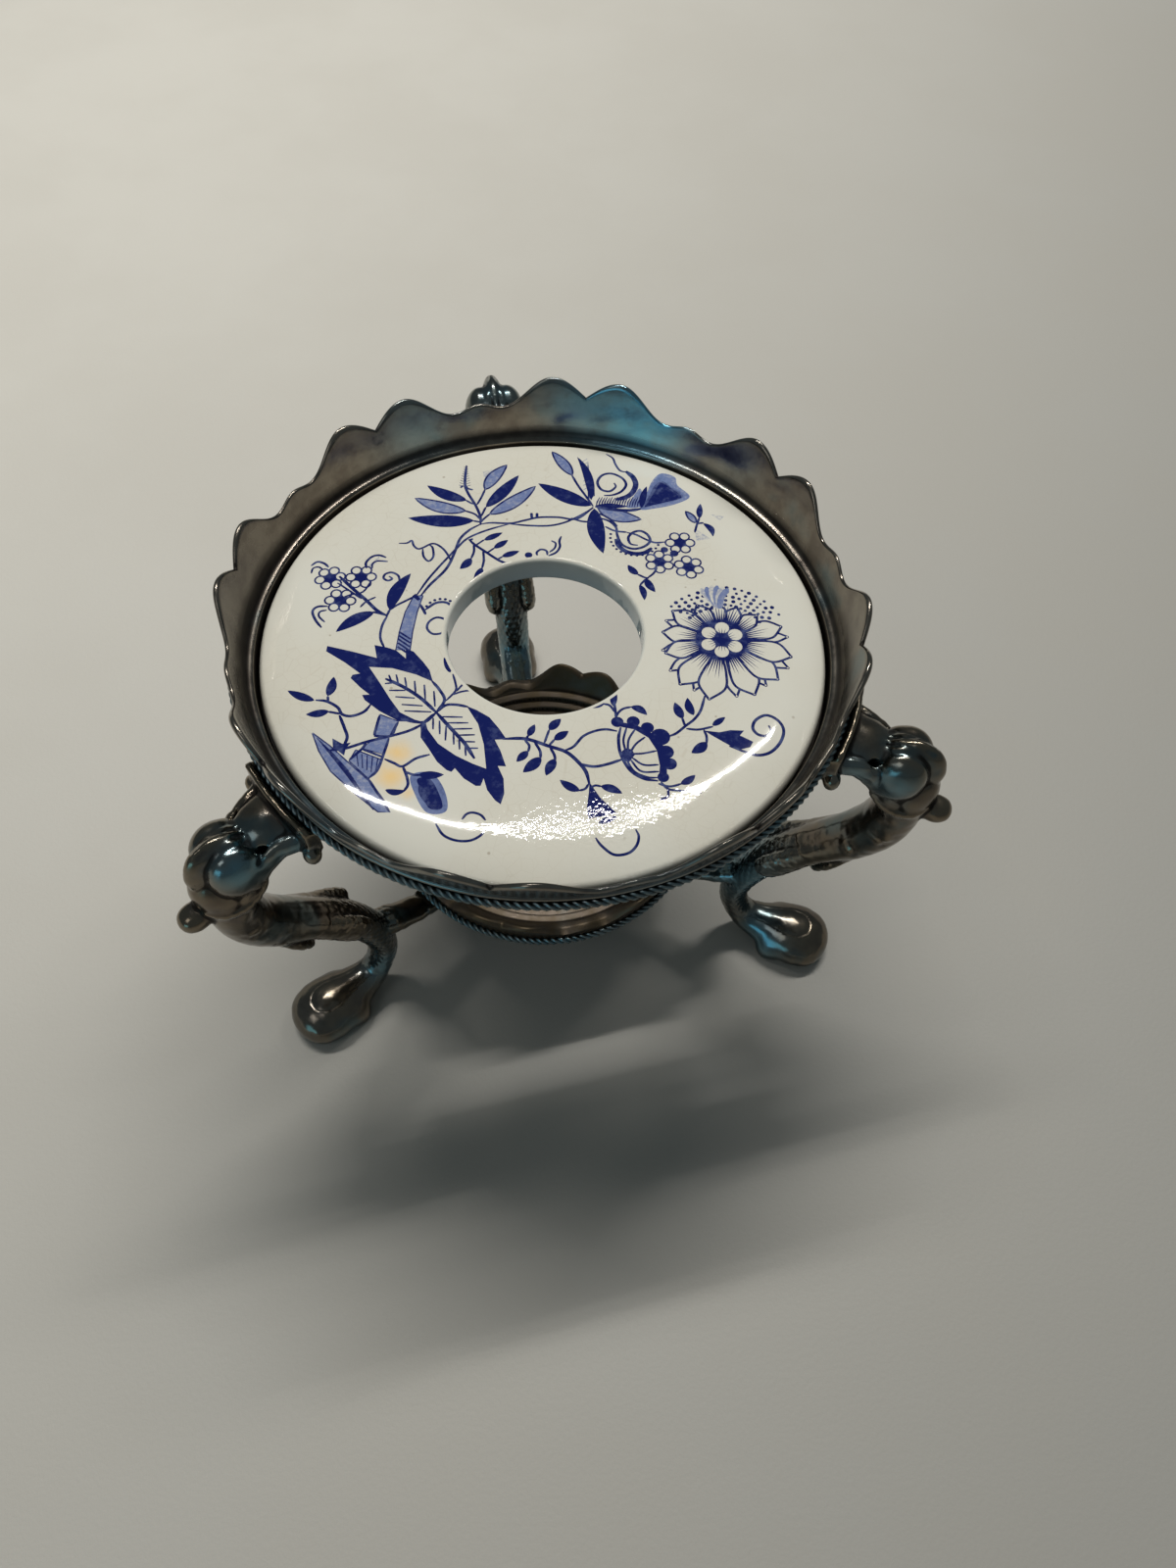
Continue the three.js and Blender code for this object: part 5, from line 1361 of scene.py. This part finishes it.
class Field:
    """Signed distances on an even grid in a leg's own axes: out, aside, up."""

    def __init__(self, low, high, step):
        self.low = np.array(low, float)
        self.step = step
        counts = [int(math.ceil((b - a) / step)) + 1 for a, b in zip(low, high)]
        self.values = np.full(counts, 9.0, np.float32)

    def near(self, low, high):
        """The part of the grid inside a box, and the coordinates there."""
        start = np.maximum(np.floor((np.asarray(low) - self.low) / self.step).astype(int), 0)
        stop = np.ceil((np.asarray(high) - self.low) / self.step).astype(int) + 1
        stop = np.minimum(stop, self.values.shape)
        region, axes = [], []
        for origin, first, last in zip(self.low, start, stop):
            region.append(slice(first, last))
            axes.append((origin + self.step * np.arange(first, last)).astype(np.float32))
        return tuple(region), np.meshgrid(*axes, indexing="ij", sparse=True)

    def join(self, region, distance, blend):
        """Adds a body, with a soft seam."""
        old = self.values[region]
        share = np.clip(0.5 + 0.5 * (old - distance) / blend, 0, 1)
        self.values[region] = old + (distance - old) * share - blend * share * (1 - share)

    def carve(self, region, distance, blend):
        """Takes a body away, with a soft edge."""
        old = self.values[region]
        share = np.clip(0.5 - 0.5 * (old + distance) / blend, 0, 1)
        self.values[region] = old - (distance + old) * share + blend * share * (1 - share)

    def limb(self, rows, blend, mirror=False, carve=False):
        """A tapering limb through rows of out, aside, up, half depth and half width."""
        rows = smooth_path(np.array(rows), 2.2)
        for flip in (1, -1) if mirror else (1,):
            for a, b in zip(rows, rows[1:]):
                ratio = (a[3] + b[3]) / (a[4] + b[4])
                start, end = a[:3] * (1, flip, 1), b[:3] * (1, flip, 1)
                reach = max(a[3], b[3], a[4], b[4]) + blend + 1.5
                low, high = np.minimum(start, end) - reach, np.maximum(start, end) + reach
                region, (x, y, z) = self.near(low, high)
                ax, ay, az = end - start
                long = ax * ax + ay * ay + az * az
                px, py, pz = x - start[0], y - start[1], z - start[2]
                t = np.clip((px * ax + py * ay + pz * az) / long, 0, 1)
                away = np.sqrt((px - t * ax) ** 2 + ((py - t * ay) * ratio) ** 2 + (pz - t * az) ** 2)
                distance = away - (a[3] + (b[3] - a[3]) * t)
                (self.carve if carve else self.join)(region, distance, blend)

    def ball(self, centre, size, blend, carve=False, mirror=False, tilt=0.0):
        """An ellipsoid, tilted in the leg's upright plane by an angle in degrees."""
        for flip in (1, -1) if mirror else (1,):
            middle = np.array(centre) * (1, flip, 1)
            reach = max(size) + blend + 1.5
            region, (x, y, z) = self.near(middle - reach, middle + reach)
            px, py, pz = x - middle[0], y - middle[1], z - middle[2]
            c, s = math.cos(math.radians(tilt)), math.sin(math.radians(tilt))
            qx, qz = px * c + pz * s, pz * c - px * s
            scaled = np.sqrt((qx / size[0]) ** 2 + (py / size[1]) ** 2 + (qz / size[2]) ** 2)
            (self.carve if carve else self.join)(region, (scaled - 1) * min(size), blend)

    def crossings(self, inner):
        """One point in each cell where the distance changes its sign, and its number for each cell."""
        cells = tuple(n - 1 for n in self.values.shape)
        corners = [(i, j, k) for i in (0, 1) for j in (0, 1) for k in (0, 1)]
        filled = np.zeros(cells, np.int8)
        for corner in corners:
            filled += inner[tuple(slice(c, c + n) for c, n in zip(corner, cells))]
        active = np.argwhere((filled > 0) & (filled < 8))
        number = np.full(cells, -1, np.int64)
        number[tuple(active.T)] = np.arange(len(active))
        total, hits = np.zeros((len(active), 3)), np.zeros(len(active))
        for first in corners:
            for axis in range(3):
                if first[axis]:
                    continue
                step = np.eye(3, dtype=int)[axis]
                near = self.values[tuple((active + first).T)].astype(float)
                far = self.values[tuple((active + first + step).T)].astype(float)
                cross = (near < 0) != (far < 0)
                t = np.where(cross, near / np.where(near == far, 1, near - far), 0)
                total += (first + t[:, None] * step) * cross[:, None]
                hits += cross
        return self.low + (active + total / hits[:, None]) * self.step, number

    def mesh(self):
        """Points and quads of the surface where the distance is zero."""
        inner = self.values < 0
        points, number = self.crossings(inner)
        quads = []
        for axis in range(3):
            ahead, behind = [slice(None)] * 3, [slice(None)] * 3
            ahead[axis], behind[axis] = slice(1, None), slice(None, -1)
            a, b = inner[tuple(behind)], inner[tuple(ahead)]
            step_u, step_v = np.eye(3, dtype=int)[[(axis + 1) % 3, (axis + 2) % 3]]
            for way in (True, False):
                spots = np.argwhere((a != b) & (a == way))
                ring = [spots - step_u - step_v, spots - step_v, spots, spots - step_u]
                if not way:
                    ring = ring[::-1]
                quads.append(np.stack([number[tuple(r.T)] for r in ring], axis=1))
        return points, np.vstack(quads)


def figure_field(step):
    """One leg: foot, tail, neck, head, the block behind it, fins, strut and plate."""
    field = Field(LEG_LOW, LEG_HIGH, step)
    field.limb(TRUNK, 1.2)
    field.limb(PETAL, 1.2, mirror=True)
    field.ball(*FIN, 0.8, tilt=60)
    field.limb(STRUT, 1.4)
    field.limb(FOOT, 1.0)
    field.ball(*FOOT_LOBE, 1.4, mirror=True)
    field.limb(BLOCK, 1.0)
    field.ball(*THROAT, 2.0)
    field.ball(*HEAD, 0.7, tilt=-12)
    field.ball(*EAR_HOLLOW, 1.0, carve=True, mirror=True, tilt=-24)
    field.limb(STRAP, 0.6, mirror=True)
    field.ball(*CHEEK, 0.25, mirror=True, tilt=-14)
    field.ball(*CREST, 0.15, tilt=-12)
    field.limb(WRINKLE, 0.35, carve=True, mirror=True)
    field.limb(SCARF, 0.5, mirror=True)
    field.ball(*MUZZLE_KNOB, 1.0, mirror=True)
    make_plate(field)
    make_tabs(field)
    below, (_, _, height) = field.near((34, -12.5, -1), (90, 12.5, 8))
    field.carve(below, height, 0.3)
    return field


def make_plate(field):
    """The curved plate against the collar, with a round ear at each lower corner."""
    region, (x, y, z) = field.near((56, -12.2, 82), (66, 12.2, 97))
    reach = np.sqrt(x * x + y * y)
    slope = PLATE_RADIUS + (z - 90) * PLATE_LEAN
    front = np.abs(reach - slope - PLATE_HALF) - PLATE_HALF
    side = np.maximum(np.abs(y) - PLATE_SIDE + PLATE_CORNER, 0)
    rise = np.maximum(np.abs(z - PLATE_MIDDLE) - PLATE_RISE + PLATE_CORNER, 0)
    edge = np.sqrt(side**2 + rise**2) - PLATE_CORNER
    field.join(region, np.maximum(front, edge) - 0.3, 0.9)
    field.ball(*PLATE_EAR, 0.6, mirror=True)
    region, (x, y, z) = field.near((50, -12.2, 85.5), (64, 12.2, 98))
    wall = COLLAR_WALL + np.clip(z - WALL_TOP, -8, 0) * WALL_SLOPE + WALL_GAP
    field.carve(region, np.sqrt(x * x + y * y) - wall, 0.2)
    region, (x, y, z) = field.near((50, -12.2, 91.5), (66, 12.2, 97))
    across = np.sqrt(x * x + y * y) - ROPE_GROOVE_RADIUS
    ring = np.sqrt(across**2 + (z - ROPE_GROOVE_HEIGHT) ** 2) - ROPE_GROOVE
    field.carve(region, ring, 0.2)


def make_tabs(field):
    """The flat bar and round pad under the dish, and the tab under the collar's ledge, each with its
    screw hole."""
    top = DISH_LOW[2] - TAB_GAP
    region, (x, y, z) = field.near((23, -6, 18), (39.5, 6, 24.5))
    bar = np.maximum(np.abs(x - BAR_PLACE) - BAR_LENGTH, np.abs(y) - BAR_WIDTH)
    from_screw = np.sqrt((x - PAD_PLACE) ** 2 + y * y)
    flat = np.minimum(bar, from_screw - PAD_RADIUS)
    field.join(region, np.maximum(flat, np.abs(z - top + BAR_THICK) - BAR_THICK), 0.3)
    field.carve(region, from_screw - SCREW_HOLE, 0.1)
    top = COLLAR_LOW[2] - TAB_GAP
    region, (x, y, z) = field.near((47.5, -6.5, 81.5), (64, 6.5, 87))
    flat = np.maximum(np.abs(x - TAB_PLACE) - TAB_LENGTH, np.abs(y) - TAB_WIDTH)
    field.join(region, np.maximum(flat, np.abs(z - top + TAB_THICK) - TAB_THICK), 0.5)
    field.carve(region, np.sqrt((x - LEDGE_SCREW_PLACE) ** 2 + y * y) - SCREW_HOLE, 0.1)


def cover_tail(points):
    """Height of the fish scales on each point of the tail."""
    spine = smooth_path(np.array(TRUNK)[:, [0, 2]], 0.5)
    walked = np.concatenate([[0], np.cumsum(np.linalg.norm(np.diff(spine, axis=0), axis=1))])
    flat = points[:, [0, 2]]
    nearest = np.empty(len(points), int)
    for part in np.array_split(np.arange(len(points)), 20):
        nearest[part] = ((flat[part, None] - spine[None]) ** 2).sum(axis=2).argmin(axis=1)
    ahead = np.gradient(spine, axis=0)
    ahead /= np.linalg.norm(ahead, axis=1, keepdims=True)
    offset = flat - spine[nearest]
    across = offset[:, 0] * ahead[nearest, 1] - offset[:, 1] * ahead[nearest, 0]
    along = walked[nearest] + (offset * ahead[nearest]).sum(axis=1)
    angle = np.arctan2(points[:, 1], across) / (2 * np.pi)
    pitch = mm(sizes().scale_pitch)
    height = np.zeros(len(points))
    for shift in (0, 1):
        row = np.floor(along / pitch) + shift
        rise = row - along / pitch
        cell = (angle * SCALES_ROUND + 0.5 * (row % 2)) % 1 - 0.5
        shape = 1 - np.sqrt((cell / SCALE_WIDTH) ** 2 + ((rise - 0.35) / SCALE_LENGTH) ** 2)
        height = np.maximum(height, np.clip(shape * SCALE_EDGE, 0, 1) * (0.55 + 0.45 * (1 - rise)))
    up = points[:, 2]
    waist = np.clip((TAIL_HIGH - up) / TAIL_FADE, 0, 1) * np.clip((up - TAIL_LOW) / TAIL_FADE, 0, 1)
    away = np.clip((np.hypot(offset[:, 0], offset[:, 1]) - TAIL_REACH) / STRUT_FADE, 0, 1)
    strut = away * (points[:, 0] < STRUT_END)
    return height * waist * (1 - strut)


def figure_mesh(step):
    """Points and quads of one leg, with its scales and its rough casting."""
    points, quads = figure_field(step).mesh()
    normal, _, _ = relief(points, quads, rounds=1, depth=1)
    tail = (points[:, 2] > TAIL_LOW) & (points[:, 2] < TAIL_HIGH)
    points = points + SCALE_RELIEF * ((cover_tail(points) - 0.5) * tail)[:, None] * normal
    folded = points * (1, 0, 1) + np.abs(points) * (0, 1, 0)
    cast = SMOOTH_CAST + PITTED_CAST * np.clip(soft_spots(folded, PITTED), 0, 1)
    rough = cast * smooth_noise(points, scale=1.5, seed=5)
    return points + rough[:, None] * normal * (points[:, 2:] > 0.5), quads


def make_legs():
    """The three legs: one casting, turned to three azimuths."""
    points, quads = figure_mesh(mm(sizes().leg_grain))
    out, aside, up = points.T
    metal = metal_material("cast_silver", tints().cast, roughness=0.15, patches=0.52)
    for node, angle in LEG_ANGLES:
        c, s = math.cos(math.radians(angle)), math.sin(math.radians(angle))
        placed = np.column_stack([out * c - aside * s, out * s + aside * c, up])
        piece = cast_piece("figure_" + node, placed, quads, metal, rounds=10, depth=0.18)
        # Painted reflection: blue-green spots on each leg.
        paint_bloom(piece, points, LEG_PAINTED_REFLECTION[node])
        seat_piece(piece, "stand", "cast_metal", node)


def dress_screws():
    """The screws keep their plain solids and get the brass."""
    brass = screw_material()
    for name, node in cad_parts.items():
        if "screw" in name:
            node.data.materials[0] = brass


# Studio

# Camera: place, angles in degrees, focal length and photo height in pixels, and the sensor's height
CAMERA_PLACE = (0.0, -146.14, 269.21)
CAMERA_YAW, CAMERA_PITCH, CAMERA_ROLL = 4.03, 57.75, -3.44
FOCAL_PIXELS, FRAME_HEIGHT, SENSOR_HEIGHT = 1172.09, 1600, 36

# Table: its reach in millimetres, its stone where painted shade darkens the front right, and its stone in
# stained patches
TABLE_REACH = 2600
SHADED_STONE = (0.235, 0.232, 0.216, 1)
STAINED_STONE = (0.3, 0.27, 0.22, 1)

# Light of the room, and what the camera sees beyond the table
ROOM_GLOW, ROOM_STRENGTH = (0.74, 0.88, 0.93, 1), 0.14
BACKDROP = (0.6, 0.59, 0.56, 1)

# Lamps, in metres and watts: name, place, aim, width, depth, power, tint, turn in degrees, and whether
# reflections show it
LAMPS = (
    ("ceiling_strip", (0, 0.55, 1.25), (0, 0, 0.09), 1.0, 0.014, 9.0, (1, 0.975, 0.93), 12, True),
    ("ceiling_fill", (0, 0.57, 1.25), (0, 0, 0.09), 1.7, 0.12, 14.6, (1, 0.965, 0.91), 12, False),
    ("soft_side", (-0.7, -0.6, 1.1), (0, 0, 0.05), 0.5, 0.5, 1.0, (1, 0.98, 0.95), 0, True),
    ("cool_screen", (-0.9, -1.2, 0.25), (0, 0, 0.06), 0.8, 0.4, 1.3, (0.25, 0.68, 0.85), 0, True),
)


def floor_material():
    """Pale stone with painted shade that deepens towards the front right, as the lamps' light falls off."""
    n = Nodes("pale_stone")
    place = n.place()
    axes = n.add("ShaderNodeSeparateXYZ", Vector=place)
    across = n.maths("MULTIPLY", axes.outputs["X"], -0.65)
    shade = n.maths("ADD", across, n.maths("MULTIPLY", axes.outputs["Y"], 0.36))
    tint = n.mix(n.remap(shade, -0.25, 0.35), SHADED_STONE, rgba(tints().floor))
    drift = n.noise(place, 9, 4, 0.6)
    tint = n.mix(n.remap(drift, 0.35, 0.65, 0.1, 0), tint, STAINED_STONE)
    grain = n.noise(place, 900, 3, 0.6)
    return n.surface(tint, 0.55, n.bump(grain, 0.15, STONE_GRAIN))


def add_lamp(name, place, aim, width, depth, power, tint, turn, mirrored):
    """A rectangular lamp that points at a place in the scene, turned in its own plane."""
    lamp = bpy.data.lights.new(name, "AREA")
    lamp.shape = "RECTANGLE"
    lamp.size, lamp.size_y, lamp.energy, lamp.color = width, depth, power, tint
    holder = add_object(name, lamp)
    facing = (Vector(aim) - Vector(place)).to_track_quat("-Z", "Y").to_matrix().to_4x4()
    holder.matrix_world = Matrix.Translation(place) @ facing @ Matrix.Rotation(math.radians(turn), 4, "Z")
    holder.visible_glossy = mirrored


def add_world():
    """A cool glow from all round, and a plain backdrop that only the camera sees."""
    world = bpy.data.worlds.new("studio")
    bpy.context.scene.world = world
    world.use_nodes = True
    n = Tree(world.node_tree)
    glow = world.node_tree.nodes["Background"]
    n.put(glow, "Color", ROOM_GLOW)
    n.put(glow, "Strength", ROOM_STRENGTH)
    backdrop = n.add("ShaderNodeBackground", Color=BACKDROP)
    from_camera = n.add("ShaderNodeLightPath").outputs["Is Camera Ray"]
    choice = n.add("ShaderNodeMixShader")
    for number, value in enumerate((from_camera, glow, backdrop)):
        n.put(choice, str(number), value)
    n.put(world.node_tree.nodes["World Output"], "Surface", choice)


def add_camera():
    """The camera, where it stood when the photo was taken."""
    yaw, pitch, roll = (math.radians(v) for v in (CAMERA_YAW, CAMERA_PITCH, CAMERA_ROLL))
    ahead = Vector((math.sin(yaw) * math.cos(pitch), math.cos(yaw) * math.cos(pitch), -math.sin(pitch)))
    right = Vector((math.cos(yaw), -math.sin(yaw), 0))
    down = ahead.cross(right)
    level = math.cos(roll) * right + math.sin(roll) * down
    below = -math.sin(roll) * right + math.cos(roll) * down
    camera = bpy.data.cameras.new("camera")
    camera.sensor_fit = "VERTICAL"
    camera.sensor_height = SENSOR_HEIGHT
    camera.lens = FOCAL_PIXELS / FRAME_HEIGHT * SENSOR_HEIGHT
    camera.clip_start = 0.01
    holder = add_object("camera", camera)
    facing = Matrix((level, -below, -ahead)).transposed().to_4x4()
    holder.matrix_world = Matrix.Translation(Vector(CAMERA_PLACE) * MM) @ facing
    bpy.context.scene.camera = holder


def make_stage():
    """The table, the lamps, the light of the room and the camera."""
    corners = [(x * TABLE_REACH, y * TABLE_REACH, 0) for x, y in ((-1, -1), (1, -1), (1, 1), (-1, 1))]
    floor = new_piece("table", corners, [(0, 1, 2, 3)], floor_material())
    for row in LAMPS:
        add_lamp(*row)
    add_world()
    add_camera()
    bpy.context.scene.view_settings.view_transform = "Standard"


# Operators and panel

class StageOperator(bpy.types.Operator):
    """Sets the pale table, the lamps and the camera"""
    bl_idname = "warmer.stage"
    bl_label = "Stage"

    def execute(self, context):
        make_stage()
        return {"FINISHED"}


class DiscOperator(bpy.types.Operator):
    """Makes the printed porcelain disc"""
    bl_idname = "warmer.disc"
    bl_label = "Porcelain disc"

    def execute(self, context):
        make_disc()
        return {"FINISHED"}


class CollarOperator(bpy.types.Operator):
    """Makes the scalloped collar"""
    bl_idname = "warmer.collar"
    bl_label = "Collar"

    def execute(self, context):
        make_collar()
        return {"FINISHED"}


class DishOperator(bpy.types.Operator):
    """Makes the stepped candle dish"""
    bl_idname = "warmer.dish"
    bl_label = "Candle dish"

    def execute(self, context):
        make_dish()
        return {"FINISHED"}


class RopeOperator(bpy.types.Operator):
    """Twists the two rope rings"""
    bl_idname = "warmer.ropes"
    bl_label = "Rope rings"

    def execute(self, context):
        make_ropes()
        return {"FINISHED"}


class LegOperator(bpy.types.Operator):
    """Casts the three figure legs"""
    bl_idname = "warmer.legs"
    bl_label = "Figure legs"

    def execute(self, context):
        make_legs()
        return {"FINISHED"}


class ScrewOperator(bpy.types.Operator):
    """Gives the six screws their brass"""
    bl_idname = "warmer.screws"
    bl_label = "Screws"

    def execute(self, context):
        dress_screws()
        return {"FINISHED"}


STEPS = (StageOperator, DiscOperator, CollarOperator, DishOperator, RopeOperator, LegOperator, ScrewOperator)


class WarmerPanel(bpy.types.Panel):
    """Lists the warmer's pieces with their sizes and colours"""
    bl_idname = "VIEW3D_PT_warmer"
    bl_label = "Food warmer"
    bl_space_type = "VIEW_3D"
    bl_region_type = "UI"
    bl_category = "Warmer"

    def draw(self, context):
        for step in STEPS:
            self.layout.operator(step.bl_idname)
        for group in (context.scene.warmer_sizes, context.scene.warmer_colours):
            for name in group.__annotations__:
                self.layout.prop(group, name)


CLASSES = (WarmerSizes, WarmerColours, *STEPS, WarmerPanel)


def register():
    for item in CLASSES:
        bpy.utils.register_class(item)
    bpy.types.Scene.warmer_sizes = bpy.props.PointerProperty(type=WarmerSizes)
    bpy.types.Scene.warmer_colours = bpy.props.PointerProperty(type=WarmerColours)


def unregister():
    del bpy.types.Scene.warmer_colours
    del bpy.types.Scene.warmer_sizes
    for item in reversed(CLASSES):
        bpy.utils.unregister_class(item)


def main():
    register()
    bpy.ops.warmer.stage()
    bpy.ops.warmer.disc()
    bpy.ops.warmer.collar()
    bpy.ops.warmer.dish()
    bpy.ops.warmer.ropes()
    bpy.ops.warmer.legs()
    bpy.ops.warmer.screws()


if __name__ == "__main__":
    main()
